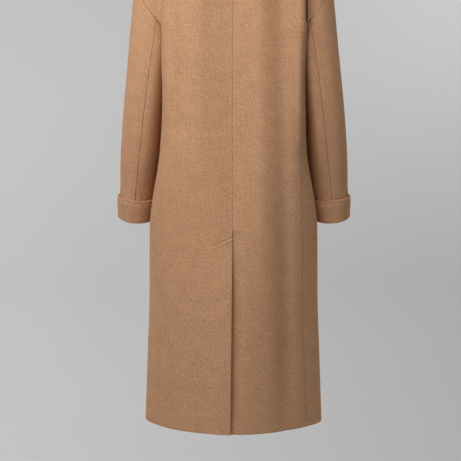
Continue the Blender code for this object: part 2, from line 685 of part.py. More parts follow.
def wall(points, quads, normals, trim=SEAM_GAP / 2):
    """A solid sheet of cloth: the points are its outer face, trimmed back a little all round."""
    quads = facing(points, quads, normals)
    edges = rim(quads)
    inward = {}
    for a, b in edges:
        across = unit(np.cross(normals[a] + normals[b], points[b] - points[a]))
        for end in (a, b):
            inward.setdefault(end, []).append(across)
    outer = points.copy()
    for end, (one, other) in inward.items():
        corner = (one + other) / max(1 + one @ other, 0.5)
        outer[end] = points[end] + trim * (corner - normals[end])
    inner = outer - normals * CLOTH
    count = len(points)
    faces = list(quads) + [tuple(k + count for k in quad[::-1]) for quad in quads]
    for a, b in edges:
        if tuple(points[a][::-1]) < tuple(points[b][::-1]):
            faces += [(b, a, b + count), (a, a + count, b + count)]
        else:
            faces += [(b, a, a + count), (b, a + count, b + count)]
    return np.concatenate([outer, inner]), faces


def body_normals(points, sign):
    """Normals of the body's outer face, on each side of the armhole's slanted surface."""
    over, torso = above_armhole(points), torso_distance(points * [sign, 1, 1])
    joined, pressed, bare, arm = (
        gradient(sided(form, sign), points)
        for form in (joined_form, pressed_form, torso_distance, arm_distance)
    )
    seam = np.abs(over) < 0.0005
    places = [seam & (torso > 0.004), seam & (torso > -0.004), over > 0.004]
    return unit(np.select([place[:, None] for place in places], [arm, bare, joined], pressed))


def add_solid(name, points, faces, material, sign=1):
    """An object of the given points, mirrored for the wearer's right."""
    if sign < 0:
        points, faces = points * MIRROR, [face[::-1] for face in faces]
    mesh = bpy.data.meshes.new(name)
    mesh.from_pydata([tuple(p) for p in points], [], [tuple(int(k) for k in f) for f in faces])
    mesh.update()
    mesh.materials.append(material)
    mesh.shade_smooth()
    mesh.set_sharp_from_angle(angle=np.radians(50))
    piece = bpy.data.objects.new(name, mesh)
    bpy.context.scene.collection.objects.link(piece)
    return piece


def add_panel(name, grids, sign, material):
    """A body piece from its grids, dipped where another piece lies over it."""
    points, quads = join(grids)
    normals = body_normals(points, sign)
    points = points - normals * sink(points, sign)[:, None]
    add_solid(name, *wall(points, quads, normals), material, sign)


def add_sleeve_piece(name, part, sign, material):
    points, quads = join([sleeve_grid(part)])
    normals = unit(gradient(arm_distance, points))
    add_solid(name, *wall(points, quads, normals), material, sign)


def add_cuff(name, sign, material):
    grid = cuff_grid()
    stations, outline = grid.shape[:2]
    faces = []
    for i in range(stations):
        for k in range(outline):
            a, b = i * outline, (i + 1) % stations * outline
            faces.append((a + k, b + k, b + (k + 1) % outline, a + (k + 1) % outline))
    add_solid(name, grid.reshape(-1, 3), faces, material, sign)


def grid_normals(grid):
    """Normals of a grid from its neighbours, row direction crossed with column direction."""
    return unit(np.cross(np.gradient(grid, axis=0), np.gradient(grid, axis=1)))


def add_collar(material):
    grid = collar_grid()
    normals = grid_normals(grid)
    if normals[len(grid) // 2, 0, 1] < 0:
        normals = -normals
    points, quads = join([grid])
    add_solid("collar", *wall(points, quads, normals.reshape(-1, 3), 0.0), material)


def add_button(name, height, material):
    """A round button on the left front at the centre front, dished, with four holes."""
    seat = straight_out(body_form, 0.0, height, -1)[0]
    normal = unit(gradient(body_form, seat))
    turn = Vector((0, 0, 1)).rotation_difference(Vector(normal)).to_matrix().to_4x4()
    place = Matrix.Translation(Vector(seat + normal * SEAM_GAP)) @ turn
    r, t = BUTTON_RADIUS, BUTTON_THICKNESS
    profile = ((0.0, 0.0), (0.93 * r, 0.0), (r, 0.35 * t), (0.97 * r, 0.85 * t), (0.88 * r, t),
               (0.72 * r, 0.86 * t), (0.62 * r, 0.62 * t), (0.0, 0.62 * t))
    shape = bmesh.new()
    rings = [shape.verts.new((x, 0, z)) for x, z in profile]
    edges = [shape.edges.new(pair) for pair in zip(rings, rings[1:])]
    bmesh.ops.spin(shape, geom=rings + edges, axis=(0, 0, 1), cent=(0, 0, 0),
                   steps=20, angle=2 * np.pi, use_duplicate=False)
    bmesh.ops.remove_doubles(shape, verts=shape.verts, dist=1e-5)
    bmesh.ops.recalc_face_normals(shape, faces=shape.faces)
    bmesh.ops.transform(shape, matrix=place, verts=shape.verts)
    mesh = bpy.data.meshes.new(name)
    shape.to_mesh(mesh)
    shape.free()
    mesh.materials.append(material)
    mesh.shade_smooth()
    mesh.set_sharp_from_angle(angle=np.radians(40))
    button = bpy.data.objects.new(name, mesh)
    bpy.context.scene.collection.objects.link(button)
    return button


def make_material(name):
    colour, roughness = MATERIALS[name]
    material = bpy.data.materials.new(name)
    material.use_nodes = True
    surface = material.node_tree.nodes["Principled BSDF"]
    surface.inputs["Base Color"].default_value = colour
    surface.inputs["Roughness"].default_value = roughness
    surface.inputs["Metallic"].default_value = 0.0
    return material


def main():
    for leftover in list(bpy.data.objects):
        bpy.data.objects.remove(leftover, do_unlink=True)
    wool, horn = make_material("wool"), make_material("horn")
    for side, sign in (("left", 1), ("right", -1)):
        back = [back_grid(sign)]
        if sign < 0:
            back.append(vent_grid(sided(body_form, sign)))
        add_panel(f"back_{side}", back, sign, wool)
        add_panel(f"front_{side}", front_grids(sign), sign, wool)
        for part in SLEEVE_PARTS:
            add_sleeve_piece(f"sleeve_{part}_{side}", part, sign, wool)
        add_cuff(f"cuff_{side}", sign, wool)
    add_collar(wool)
    for number, height in enumerate(BUTTON_HEIGHTS, 1):
        add_button(f"button_{number}", height, horn)


main()
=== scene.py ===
"""Dresses the long wool coat over its frame: thin cloth shells on the coat's own form, with rounded
seams and hems, soft folds, turned-up cuffs, a collar, horn buttons, worked buttonholes and a stage.

Units are metres, +Z is up, the front faces -Y and the wearer's left is +X. A piece of the wearer's
right is worked out as a left one and mirrored at the end.
"""

from collections import namedtuple

import bpy
import numpy as np
from bpy.props import FloatProperty, FloatVectorProperty, PointerProperty
from bpy.types import Operator, Panel, PropertyGroup
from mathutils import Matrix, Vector


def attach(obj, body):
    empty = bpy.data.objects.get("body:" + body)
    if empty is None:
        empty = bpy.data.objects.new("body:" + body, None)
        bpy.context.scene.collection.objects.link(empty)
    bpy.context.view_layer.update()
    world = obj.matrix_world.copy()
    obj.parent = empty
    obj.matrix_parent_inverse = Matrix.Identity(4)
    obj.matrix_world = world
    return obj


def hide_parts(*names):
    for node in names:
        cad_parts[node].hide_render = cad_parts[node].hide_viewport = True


bl_info = {
    "name": "Long wool coat",
    "version": (1, 0, 0),
    "blender": (4, 5, 0),
    "location": "View3D > Sidebar > Coat",
    "description": "Builds a long wool coat in its worn form",
    "category": "Add Mesh",
}

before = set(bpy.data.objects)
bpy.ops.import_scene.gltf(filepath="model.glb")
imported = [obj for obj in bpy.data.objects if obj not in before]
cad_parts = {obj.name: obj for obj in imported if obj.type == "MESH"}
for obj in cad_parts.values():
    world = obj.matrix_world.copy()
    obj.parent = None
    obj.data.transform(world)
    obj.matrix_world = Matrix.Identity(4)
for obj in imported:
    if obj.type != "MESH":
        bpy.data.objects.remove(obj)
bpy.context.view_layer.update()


class Table:
    """Rows of numbers by named column, read with a monotone cubic that is held at its ends."""

    def __init__(self, columns, rows):
        self.columns = columns
        values = np.array(sorted(rows))
        self.x, self.y = values[:, 0], values[:, 1:]
        self.run = np.diff(self.x)[:, None]
        slope = np.diff(self.y, axis=0) / self.run
        same = slope[:-1] * slope[1:] > 0
        before, after = np.where(same, slope[:-1], 1.0), np.where(same, slope[1:], 1.0)
        first, second = 2 * self.run[1:] + self.run[:-1], self.run[1:] + 2 * self.run[:-1]
        middle = np.where(same, (first + second) / (first / before + second / after), 0.0)
        self.tangent = np.concatenate([slope[:1], middle, slope[-1:]])

    def at(self, x):
        """Every column after the first, at the given values of the first."""
        x = np.clip(x, self.x[0], self.x[-1])
        i = np.clip(np.searchsorted(self.x, x, side="right") - 1, 0, len(self.x) - 2)
        run, low, high = self.run[i], self.y[i], self.y[i + 1]
        t = ((x - self.x[i])[..., None]) / run
        rise = low * (1 + 2 * t) * (1 - t) ** 2 + high * t * t * (3 - 2 * t)
        bend = run * (self.tangent[i] * t * (1 - t) ** 2 - self.tangent[i + 1] * t * t * (1 - t))
        return np.moveaxis(rise + bend, -1, 0)


# ---- the coat's sizes, as its frame has them

SEAM_GAP = 0.0003
HEM_HEIGHT = -1.217
BACK_SEAM_ACROSS = 0.0026  # the centre back seam sits this far to the wearer's left
VENT_TOP = -0.780
VENT_WIDTH = 0.048
VENT_SLANT = 0.021
VENT_LEAN = 0.0040
LAYER_GAP = 0.0012
SINK_RUN = 0.034
FRONT_OVERLAP = 0.034
NECK_HALF_WIDTH = 0.080
NECK_BACK = 0.070
NECK_FRONT = 0.098
NECK_SIDE_HEIGHT = 0.003
NECK_FRONT_HEIGHT = -0.072
NECK_DROP = (82.0, 190.0)
SHOULDER_MIDDLE = (0.12, -0.20)
BUTTON_RADIUS = 0.0135
BUTTON_THICKNESS = 0.0042
BUTTON_HEIGHTS = (-0.125, -0.295, -0.465, -0.635)
CUFF_HEIGHT = 0.058
CUFF_AIR = 0.0014
CUFF_CENTRE = -0.7325
SLEEVE_END = 0.0100
SLEEVE_AIR = 0.0065
SLEEVE_AIR_RUN = 0.010
CUFF_ROOM = 0.0050
CUFF_ROOM_DEPTHS = (0.33, 0.36)
PRESS_BLEND = (0.004, 0.012)
PRESS_BLEND_DEPTHS = (0.01, 0.09)
ARM_BLEND = (0.008, 0.055)
ARM_BLEND_HEIGHTS = (-0.26, -0.08)
CREASE_DEPTH = 0.012
CREASE_WIDTH = 0.011
CREASE_FADE = (-0.08, -0.21)
COLLAR_ROLL = 0.0022
COLLAR_AIR = 0.0055
COLLAR_LEAN = 0.10
COLLAR_BEND = 0.25

# Torso sections: half width, depth to the back and to the front, and how square each half is.
TORSO = Table(("height", "half_width", "back", "front", "back_square", "front_square"), (
    (-1.250, 0.2120, 0.172, 0.167, 1.66, 2.00),
    (-1.170, 0.2095, 0.168, 0.164, 1.68, 2.00),
    (-1.050, 0.2056, 0.163, 0.160, 1.75, 2.05),
    (-0.906, 0.2013, 0.157, 0.155, 1.95, 2.15),
    (-0.810, 0.2010, 0.151, 0.152, 2.15, 2.25),
    (-0.750, 0.2000, 0.147, 0.150, 2.35, 2.35),
    (-0.691, 0.1935, 0.143, 0.148, 2.75, 2.40),
    (-0.663, 0.1885, 0.141, 0.147, 3.05, 2.45),
    (-0.625, 0.1812, 0.139, 0.146, 3.45, 2.50),
    (-0.574, 0.1745, 0.136, 0.145, 3.90, 2.60),
    (-0.506, 0.1712, 0.133, 0.144, 4.30, 2.70),
    (-0.390, 0.1710, 0.131, 0.144, 4.80, 2.85),
    (-0.293, 0.1710, 0.130, 0.145, 5.00, 2.90),
    (-0.210, 0.1735, 0.130, 0.141, 4.40, 2.80),
    (-0.170, 0.1790, 0.128, 0.135, 3.50, 2.60),
    (-0.120, 0.1860, 0.119, 0.123, 2.70, 2.35),
    (-0.080, 0.1890, 0.106, 0.109, 2.30, 2.20),
    (-0.055, 0.1830, 0.096, 0.098, 2.15, 2.10),
    (-0.038, 0.1620, 0.089, 0.090, 2.05, 2.05),
    (-0.020, 0.1240, 0.080, 0.080, 2.00, 2.00),
    (0.000, 0.0800, 0.070, 0.070, 2.00, 2.00),
    (0.030, 0.0640, 0.058, 0.062, 2.00, 2.00),
))
EASE = 0.12

# Arm sections: oval slices, outer and inner are their reach from the middle of the coat.
ARM = Table(("height", "outer", "inner", "middle", "half_depth"), (
    (-0.800, 0.2880, 0.2020, -0.0640, 0.0590),
    (-0.735, 0.2840, 0.1975, -0.0540, 0.0595),
    (-0.672, 0.2808, 0.1900, -0.0400, 0.0605),
    (-0.606, 0.2765, 0.1800, -0.0250, 0.0635),
    (-0.522, 0.2703, 0.1690, -0.0100, 0.0680),
    (-0.430, 0.2615, 0.1560, 0.0000, 0.0715),
    (-0.354, 0.2534, 0.1450, 0.0030, 0.0740),
    (-0.290, 0.2475, 0.1370, 0.0030, 0.0760),
    (-0.210, 0.2400, 0.1300, 0.0020, 0.0780),
    (-0.170, 0.2345, 0.1320, 0.0010, 0.0770),
    (-0.120, 0.2235, 0.1400, 0.0000, 0.0730),
    (-0.085, 0.2090, 0.1500, 0.0000, 0.0620),
    (-0.062, 0.1930, 0.1600, 0.0000, 0.0460),
    (-0.048, 0.1770, 0.1720, 0.0000, 0.0100),
))
ARM_TOP = -0.048
ARM_END = -0.765
ARM_END_SLOPE = 0.4

# Sleeve rings: slanted slices of the arm. Each rises outwards, with a bow, and falls backwards.
RINGS = Table(("centre", "outward_rise", "bow", "backward_rise"), (
    (-0.780, 0.10, 0.0, -0.27),
    (-0.7325, 0.10, 0.0, -0.27),
    (-0.680, 0.10, 0.0, -0.26),
    (-0.600, 0.10, 0.0, -0.18),
    (-0.520, 0.12, 0.0, -0.08),
    (-0.440, 0.20, 0.0, -0.02),
    (-0.360, 0.46, 1.0, 0.00),
    (-0.300, 0.86, 4.0, 0.00),
    (-0.261, 1.24, 8.0, 0.00),
))
ARMHOLE_CENTRE = -0.261
ARMHOLE_BACK = 116.0
ARMHOLE_FRONT = 244.0
SLEEVE_SEAMS = Table(("centre", "back", "front"), (
    (-0.780, 91.0, 224.0),
    (-0.505, 97.0, 224.0),
    (-0.366, 99.0, 223.0),
    (-0.261, 103.1111, 222.6667),
))
PANEL_LINES = Table(("height", "side_seam", "front_line"), (
    (-1.217, 23.5, -30.0),
    (-0.900, 27.0, -31.0),
    (-0.600, 31.4, -31.0),
    (-0.380, 32.0, -29.0),
))
PANEL_TURN = -0.42
ARMPIT_TURN = -0.50

# Soft vertical folds. Side is 1 on the back and -1 on the front, and a negative depth is a ridge.
Fold = namedtuple("Fold", "side across_top across_hem half_width depth top bottom")
FOLDS = (
    Fold(1, 0.118, 0.122, 0.016, 0.0055, 0.05, -0.70),
    Fold(1, 0.074, 0.076, 0.015, -0.0030, 0.05, -0.55),
    Fold(1, 0.080, 0.086, 0.030, -0.0025, 0.00, -0.80),
    Fold(1, 0.008, 0.004, 0.026, 0.0034, -0.10, -0.92),
    Fold(1, -0.060, -0.066, 0.020, -0.0044, 0.05, -0.95),
    Fold(1, -0.109, -0.121, 0.023, 0.0115, 0.05, -1.32),
    Fold(1, -0.153, -0.154, 0.011, -0.0060, 0.05, -0.66),
    Fold(1, -0.1635, -0.1635, 0.008, -0.0084, 0.05, -0.46),
    Fold(1, 0.168, 0.168, 0.009, 0.0050, -0.36, -0.66),
    Fold(1, -0.168, -0.168, 0.009, 0.0040, -0.28, -0.62),
    Fold(1, -0.148, -0.160, 0.046, 0.0080, -0.50, -1.40),
    Fold(-1, 0.098, 0.112, 0.028, 0.0045, -0.20, -1.30),
    Fold(-1, 0.062, 0.064, 0.020, -0.0020, -0.20, -1.05),
    Fold(-1, -0.106, -0.120, 0.026, 0.0062, -0.24, -1.30),
    Fold(-1, -0.070, -0.078, 0.020, -0.0022, -0.30, -1.10),
)
FOLD_FACING = (0.02, 0.08)
FOLD_LEAN_TOP = -0.20
FOLD_FADES = (0.12, 0.25)

# Collar: turned round the neck from the centre back (0 degrees) to the centre front (180).
COLLAR = Table(("turn", "stand", "edge_height", "edge_turn"), (
    (-40.0, 0.035, -0.033, -39.0),
    (0.0, 0.036, -0.040, 0.0),
    (40.0, 0.035, -0.033, 39.0),
    (60.0, 0.034, -0.027, 58.0),
    (85.0, 0.032, -0.022, 82.0),
    (115.0, 0.027, -0.038, 107.0),
    (150.0, 0.020, -0.095, 138.0),
    (180.0, 0.013, -0.150, 158.0),
))

# Rows and columns of the frame's panels above the armpit, from which the fine ones are worked out.
BACK_COLUMNS = 9
FRONT_COLUMNS = 9
SHOULDER_COLUMNS = 5
UPPER_ROWS = 9
RELAX_STEPS = 80
FINER = 10  # fine steps for each of the frame's
RAYS = 161

# ---- what the dressed coat adds

CLOTH = 0.0025
HEM_TURN = 0.042  # height of the hem that is turned up inside
HEM_EXTRA = 0.0020  # how much thicker the wall is there
SEAM_STEPS = (0.0, 0.0004, 0.0010, 0.0019, 0.0032)  # distances from a seam that get a row of their own
ROUND_OVER = 0.0014  # width over which an edge rounds over
SEAM_DIP = 0.0007  # how deep the cloth dips where two pieces are sewn together
SEAM_ROUND_OVER = 0.0030  # width over which it dips there
SEAM_PAINTED_SHADE = 0.0012  # width over which the wool is painted darker there: painted shade in the seam's dip
QUIET_CENTRE = 0.0006  # how much less of that painted shade the centre back seam has
QUIET_SIDE = 0.0009  # and the side seam of the wearer's left
RIM_REACH = 0.006  # distances from an edge are worked out up to this one

FINE_CREASE = (0.004, 0.004)  # depth of the drape fold behind the wearer's left and right arm
FINE_CREASE_WIDTH = 0.0055
FINE_CREASE_RISE = (0.004, 0.030)  # heights above the armhole over which it starts
FOLD_LINE = (0.1661, 0.1682)  # the drape fold's sharp line above each armhole: its place across
FOLD_LINE_DEPTH = (0.0032, 0.0170)  # its depth on the wearer's left and right
FOLD_LINE_HALF_WIDTH = (0.0013, 0.0028)
FOLD_LINE_RISE = (0.001, 0.009)  # heights above the armhole over which it starts
FOLD_LINE_TOP = (-0.10, -0.17)  # and heights over which it fades away
FOLD_CROWD = (0.012, 1.8)  # the reach round it where columns lie closer, and how much closer
VENT_GAPE = 0.0064  # how far the vent's upper edge stands off at the middle of its height
VENT_GAPE_RUN = 0.060  # width over which it lifts
VENT_OPENS = (-0.02, 0.34)  # shares of the vent's height, from its top, over which it opens
VENT_CLOSES = (0.80, 1.0)  # and over which it closes again near the hem
VENT_CLOSING = 0.35  # how much of the opening it loses there
VENT_SINK_RISE = 0.022  # height above the vent over which the lower layer sinks
VENT_HOLLOW = 0.0040  # how much deeper the lower layer lies there
STITCH_END = (0.0500, -0.8010)  # the slanted stitch line above the vent, from its seam to here
STITCH_DEPTH = 0.0013
STITCH_HALF_WIDTH = 0.0013
STITCH_PUFF = 0.0008  # the cloth's rise beside the stitch line
STITCH_PUFF_BELOW = 0.0045  # distance of that rise below the line, and its half width
STITCH_PUFF_HALF_WIDTH = 0.0035
HEM_LIFT_TOP = -1.06  # height from which the worn hem's rise comes in

CUFF_RIM = 0.0042  # thickness of the cuff's rolled top edge
CUFF_FLARE = 0.0010
CUFF_BULGE = 0.0009

# The upper panels' inside goes onto the fine form: over these heights, from this far off the armhole
# (low down, and how much more high up), and not at the top of the shoulder.
LAID_HEIGHTS = (-0.27, -0.22)
LAID_AWAY = (0.001, 0.006)
LAID_AWAY_MORE = (0.002, 0.008)
LAID_TOP = (-0.08, -0.15)
EVENED_REACH = (0.035, 0.080)  # distances from the armhole's corner over which evening fades
EVENED_STEPS = 14

EASE_REACH = 0.020  # radius of the ball over which the shoulder's form is averaged
EASE_HEIGHTS = (-0.150, -0.085)
EASE_ACROSS = (0.105, 0.150)
BALL = np.array([  # points of a ball: six along the axes and eight towards a cube's corners
    (1, 0, 0), (-1, 0, 0), (0, 1, 0), (0, -1, 0), (0, 0, 1), (0, 0, -1),
    *((0.577 * i, 0.577 * j, 0.577 * k) for i in (-1, 1) for j in (-1, 1) for k in (-1, 1)),
])

LOWER_ROWS = 150
BACK_COUNT, BACK_ROWS = 98, 72  # columns of a back, and rows of it above the armpit
FRONT_COUNT, FRONT_ROWS = 88, 68
STRIP_COUNT = 30  # columns of the strip below the armhole
LAYER_COUNT = 14  # columns of the vent's hidden layer
SLEEVE_RINGS, SLEEVE_ROWS = 200, 130
SLEEVE_COUNTS = {"upper": 78, "under": 34}
COLLAR_STATIONS, COLLAR_COUNT, COLLAR_ROWS = 73, 60, 150
COLLAR_CLOTH = 0.0030

MIRROR = np.array([-1.0, 1.0, 1.0])


def step(x, start, end):
    """0 before start, 1 after end, smooth between."""
    t = np.clip((x - start) / (end - start), 0, 1)
    return t * t * (3 - 2 * t)


def soft_min(a, b, reach):
    """The lower of two values, eased by a parabola where they differ by less than reach."""
    near = np.maximum(reach - np.abs(a - b), 0) / reach
    return np.minimum(a, b) - near * near * reach / 4


def unit(vectors):
    """Each vector divided by its length."""
    return vectors / np.maximum(np.linalg.norm(vectors, axis=-1, keepdims=True), 1e-12)


# ---- the form that the cloth follows


def folds(p):
    """How far the soft folds dip in: bells across, faded at both ends."""
    x, y, z = p[..., 0], p[..., 1], p[..., 2]
    dip = np.zeros_like(x)
    lean = step(z, FOLD_LEAN_TOP, HEM_HEIGHT)
    for fold in FOLDS:
        across = fold.across_top + (fold.across_hem - fold.across_top) * lean
        ends = step(z, fold.bottom, fold.bottom + FOLD_FADES[1]) * step(z, fold.top, fold.top - FOLD_FADES[0])
        hollow = np.exp(-(((x - across) / fold.half_width) ** 2))
        dip = dip + fold.depth * step(fold.side * y, *FOLD_FACING) * ends * hollow
    return dip


def eased_power(share, square):
    """The size of share to the power square, with a round bottom instead of a point at 0."""
    return (share * share + EASE * EASE) ** (square / 2) - EASE**square


def torso_distance(p):
    """Distance out from the torso's rounded section at each point's height."""
    x, y, z = p[..., 0], p[..., 1], p[..., 2]
    width, back, front, back_square, front_square = TORSO.at(z)
    depth, square = np.where(y >= 0, back, front), np.where(y >= 0, back_square, front_square)
    whole = eased_power(1.0, square)
    share = (eased_power(x / width, square) + eased_power(y / depth, square)) / whole
    radius = np.hypot(x, y)
    return radius - radius / np.maximum(share, 1e-6) ** (1 / square) + folds(p)


def arm_oval(z):
    """Centre across, half width, centre depth and half depth of the arm's slice at a height."""
    outer, inner, middle, half_depth = ARM.at(z)
    return (outer + inner) / 2, (outer - inner) / 2, middle, half_depth


def arm_distance(p):
    """Distance out from the arm's oval slice at each point's height."""
    z = p[..., 2]
    across, half_width, middle, half_depth = arm_oval(z)
    dx, dy = np.abs(p[..., 0]) - across, p[..., 1] - middle
    share = np.hypot(dx / half_width, dy / half_depth)
    radius = np.hypot(dx, dy)
    past_end = np.maximum(z - ARM_TOP, 0) + ARM_END_SLOPE * np.maximum(ARM_END - z, 0)
    return radius - radius / np.maximum(share, 1e-6) + past_end


def above_armhole(p):
    """Height above the slanted surface that the armhole lies in."""
    out = np.abs(p[..., 0]) - arm_oval(ARMHOLE_CENTRE)[0]
    rise, bow, _ = RINGS.at(ARMHOLE_CENTRE)
    return p[..., 2] - ARMHOLE_CENTRE - rise * out - bow * np.maximum(out, 0) ** 2


def joined_form(p, depth=CREASE_DEPTH, width=CREASE_WIDTH):
    """The body above the armholes: torso and arms flow together, with a crease behind each arm."""
    torso, arm = torso_distance(p), arm_distance(p)
    crease = depth * np.exp(-(torso**2 + arm**2) / width**2)
    reach = ARM_BLEND[0] + (ARM_BLEND[1] - ARM_BLEND[0]) * step(p[..., 2], *ARM_BLEND_HEIGHTS)
    return soft_min(torso, arm, reach) + crease * step(p[..., 2], *CREASE_FADE)


def fine_form(p):
    """The same with the crease drawn narrower, and faded towards the armhole."""
    depth = np.where(p[..., 0] > 0, *FINE_CREASE) * step(above_armhole(p), *FINE_CREASE_RISE)
    return joined_form(p, depth, FINE_CREASE_WIDTH)


def eased_form(p):
    """The joined form averaged over a small ball, which rounds off the top of the shoulder."""
    return sum(joined_form(p + EASE_REACH * offset) for offset in BALL) / len(BALL)


def eased_shoulder(p, sign):
    """Points of a panel, with those of the shoulder moved on to the averaged form."""
    share = step(p[:, 2], *EASE_HEIGHTS) * step(p[:, 0], *EASE_ACROSS)
    near = share > 0
    moved = p.copy()
    moved[near] += share[near, None] * (onto(sided(eased_form, sign), p[near], 3) - p[near])
    return moved


def pressed_form(p):
    """The body below the armholes: pressed in beside each sleeve, so that the sleeve hangs clear."""
    depth = np.maximum(-above_armhole(p), 0)
    clear = SLEEVE_AIR * (1 - np.exp(-depth / SLEEVE_AIR_RUN))
    clear = clear + CUFF_ROOM * step(depth, *CUFF_ROOM_DEPTHS)
    reach = PRESS_BLEND[0] + (PRESS_BLEND[1] - PRESS_BLEND[0]) * step(depth, *PRESS_BLEND_DEPTHS)
    return -soft_min(-torso_distance(p), arm_distance(p) - clear, reach)


def sided(form, sign):
    """A form for the wearer's left (1), or for the right (-1) worked out as a left."""
    turn = np.array([sign, 1.0, 1.0])
    return lambda p: form(p * turn)


def gradient(form, p):
    """How fast the form grows along each axis, from its values a small step to either side."""
    small = 2e-4
    slopes = [form(p + small * axis) - form(p - small * axis) for axis in np.eye(3)]
    return np.stack(slopes, axis=-1) / (2 * small)


def onto(form, p, steps):
    """Moves points along the form's gradient until they lie on it."""
    for _ in range(steps):
        slope = gradient(form, p)
        size = np.maximum((slope**2).sum(-1, keepdims=True), 1e-2)
        p = p - np.clip(slope * form(p)[..., None] / size, -0.01, 0.01)
    return p


def ray_hit(form, origin, rays, far=0.32):
    """Where rays from inside the form leave it, by halving."""
    near_end, far_end = np.zeros(rays.shape[:-1]), np.full(rays.shape[:-1], far)
    for _ in range(26):
        middle = (near_end + far_end) / 2
        inside = form(origin + rays * middle[..., None]) < 0
        near_end = np.where(inside, middle, near_end)
        far_end = np.where(inside, far_end, middle)
    return origin + rays * near_end[..., None]


# ---- curves and grids


def running(curves):
    """Length along each polyline up to each of its points."""
    pieces = np.linalg.norm(np.diff(curves, axis=-2), axis=-1)
    return np.concatenate([np.zeros_like(pieces[..., :1]), np.cumsum(pieces, -1)], -1)


def respace(curves, at):
    """Points of polylines at given lengths along them, straight between the polylines' points."""
    run = running(curves)
    at = np.clip(at, 0, run[..., -1:])
    i = np.clip((run[..., None, :] <= at[..., None]).sum(-1) - 1, 0, run.shape[-1] - 2)
    low_run, high_run = np.take_along_axis(run, i, -1), np.take_along_axis(run, i + 1, -1)
    share = ((at - low_run) / np.maximum(high_run - low_run, 1e-12))[..., None]
    low = np.take_along_axis(curves, i[..., None], -2)
    return low + (np.take_along_axis(curves, i[..., None] + 1, -2) - low) * share


def spread(length, count, start=True, end=True):
    """Even distances along a length, with the seam's fine steps at each end that has one."""
    length = np.asarray(length, float)
    first = np.array(SEAM_STEPS if start else SEAM_STEPS[:1])
    last = np.array(SEAM_STEPS if end else SEAM_STEPS[:1])
    middle = np.linspace(0, 1, count + 1)[1:-1]
    middle = first[-1] + (length - first[-1] - last[-1]) * middle
    edges = np.zeros_like(length)
    return np.concatenate([edges + first, middle, length - last[::-1]], -1)


def along(curve, count):
    """count + 1 points spaced evenly along one polyline."""
    return respace(curve, np.linspace(0, running(curve)[-1], count + 1))


def straight_out(form, across, heights, side):
    """Points of the back (side 1) or front (side -1) at a distance across, one for each height."""
    heights = np.atleast_1d(heights)
    origin = np.stack([across + 0 * heights, 0 * heights, heights], -1)
    return ray_hit(form, origin, np.broadcast_to([0.0, float(side), 0.0], origin.shape))


def sleeve_point(centre, angle):
    """Points of the arm on slanted rings: the oval's point at an angle, at the ring's height there."""
    centre, turn = np.broadcast_arrays(np.asarray(centre, float), np.radians(angle))
    rise, bow, fall = RINGS.at(centre)
    across0, _, middle0, _ = arm_oval(centre)
    z = centre.copy()
    for _ in range(36):
        across, half_width, middle, half_depth = arm_oval(z)
        x = across + half_width * np.cos(turn)
        y = middle + half_depth * np.sin(turn)
        target = centre + rise * (x - across0) + bow * np.maximum(x - across0, 0) ** 2
        z = 0.6 * z + 0.4 * (target + fall * (y - middle0))
    return np.stack([x, y, z], -1)


ARMPIT_ROW = float(sleeve_point(ARMHOLE_CENTRE, ARMHOLE_BACK)[2])


def line_angles(z):
    """Angles round the torso of the side seam and of the line below the front armhole."""
    ends = sleeve_point(ARMHOLE_CENTRE, [ARMHOLE_BACK, ARMHOLE_FRONT])
    share = step(z, PANEL_TURN, ARMPIT_ROW)
    corner = np.degrees(np.arctan2(ends[:, 1], ends[:, 0]))
    side, front = PANEL_LINES.at(z)
    return side * (1 - share) + corner[0] * share, front * (1 - share) + corner[1] * share


def shoulder_seam(form, count):
    """From the neck out along the ridge of the shoulder to the armhole, as a fan of rays finds it."""
    end = sleeve_point(ARMHOLE_CENTRE, 0.0)
    centre = np.array([SHOULDER_MIDDLE[0], end[1], SHOULDER_MIDDLE[1]])
    first = np.pi - np.arctan2(NECK_SIDE_HEIGHT - centre[2], centre[0] - NECK_HALF_WIDTH)
    last = np.arctan2(end[2] - centre[2], end[0] - centre[0])
    angles = np.linspace(first, last, RAYS)
    rays = np.stack([np.cos(angles), 0 * angles, np.sin(angles)], -1)
    seam = along(ray_hit(form, centre, rays), count)
    seam[-1] = end
    return seam


def neck_point(form, turn):
    """Points of the neck seam, by their turn from the centre back, laid onto the form."""
    turn = np.asarray(turn, float)
    ahead = 180 - np.abs(180 - turn)
    drop = step(ahead, *NECK_DROP) / step(180.0, *NECK_DROP)
    side = np.sin(np.radians(np.minimum(ahead, 90.0))) ** 2
    z = NECK_SIDE_HEIGHT * side + (NECK_FRONT_HEIGHT - NECK_SIDE_HEIGHT) * drop
    x = NECK_HALF_WIDTH * np.sin(np.radians(turn))
    y = np.cos(np.radians(turn)) * np.where(ahead < 90, NECK_BACK, NECK_FRONT)
    return onto(form, np.stack([x, y, z], -1), 12)


def fill(bottom, top, left, right):
    """Blends four boundary curves into a grid: rows from bottom to top, less what is counted twice."""
    v = np.linspace(0, 1, len(left))[:, None, None]
    u = np.linspace(0, 1, len(bottom))[None, :, None]
    rows = (1 - v) * bottom[None] + v * top[None]
    sides = (1 - u) * left[:, None] + u * right[:, None]
    low = (1 - u) * bottom[0] + u * bottom[-1]
    high = (1 - u) * top[0] + u * top[-1]
    return rows + sides - ((1 - v) * low + v * high)


def relax(form, grid, steps):
    """Evens out a grid's inside on the form, and leaves its four edges where they are."""
    for _ in range(steps):
        around = grid[:-2, 1:-1] + grid[2:, 1:-1] + grid[1:-1, :-2] + grid[1:-1, 2:]
        grid[1:-1, 1:-1] = onto(form, 0.5 * grid[1:-1, 1:-1] + around / 8, 1)
    return grid


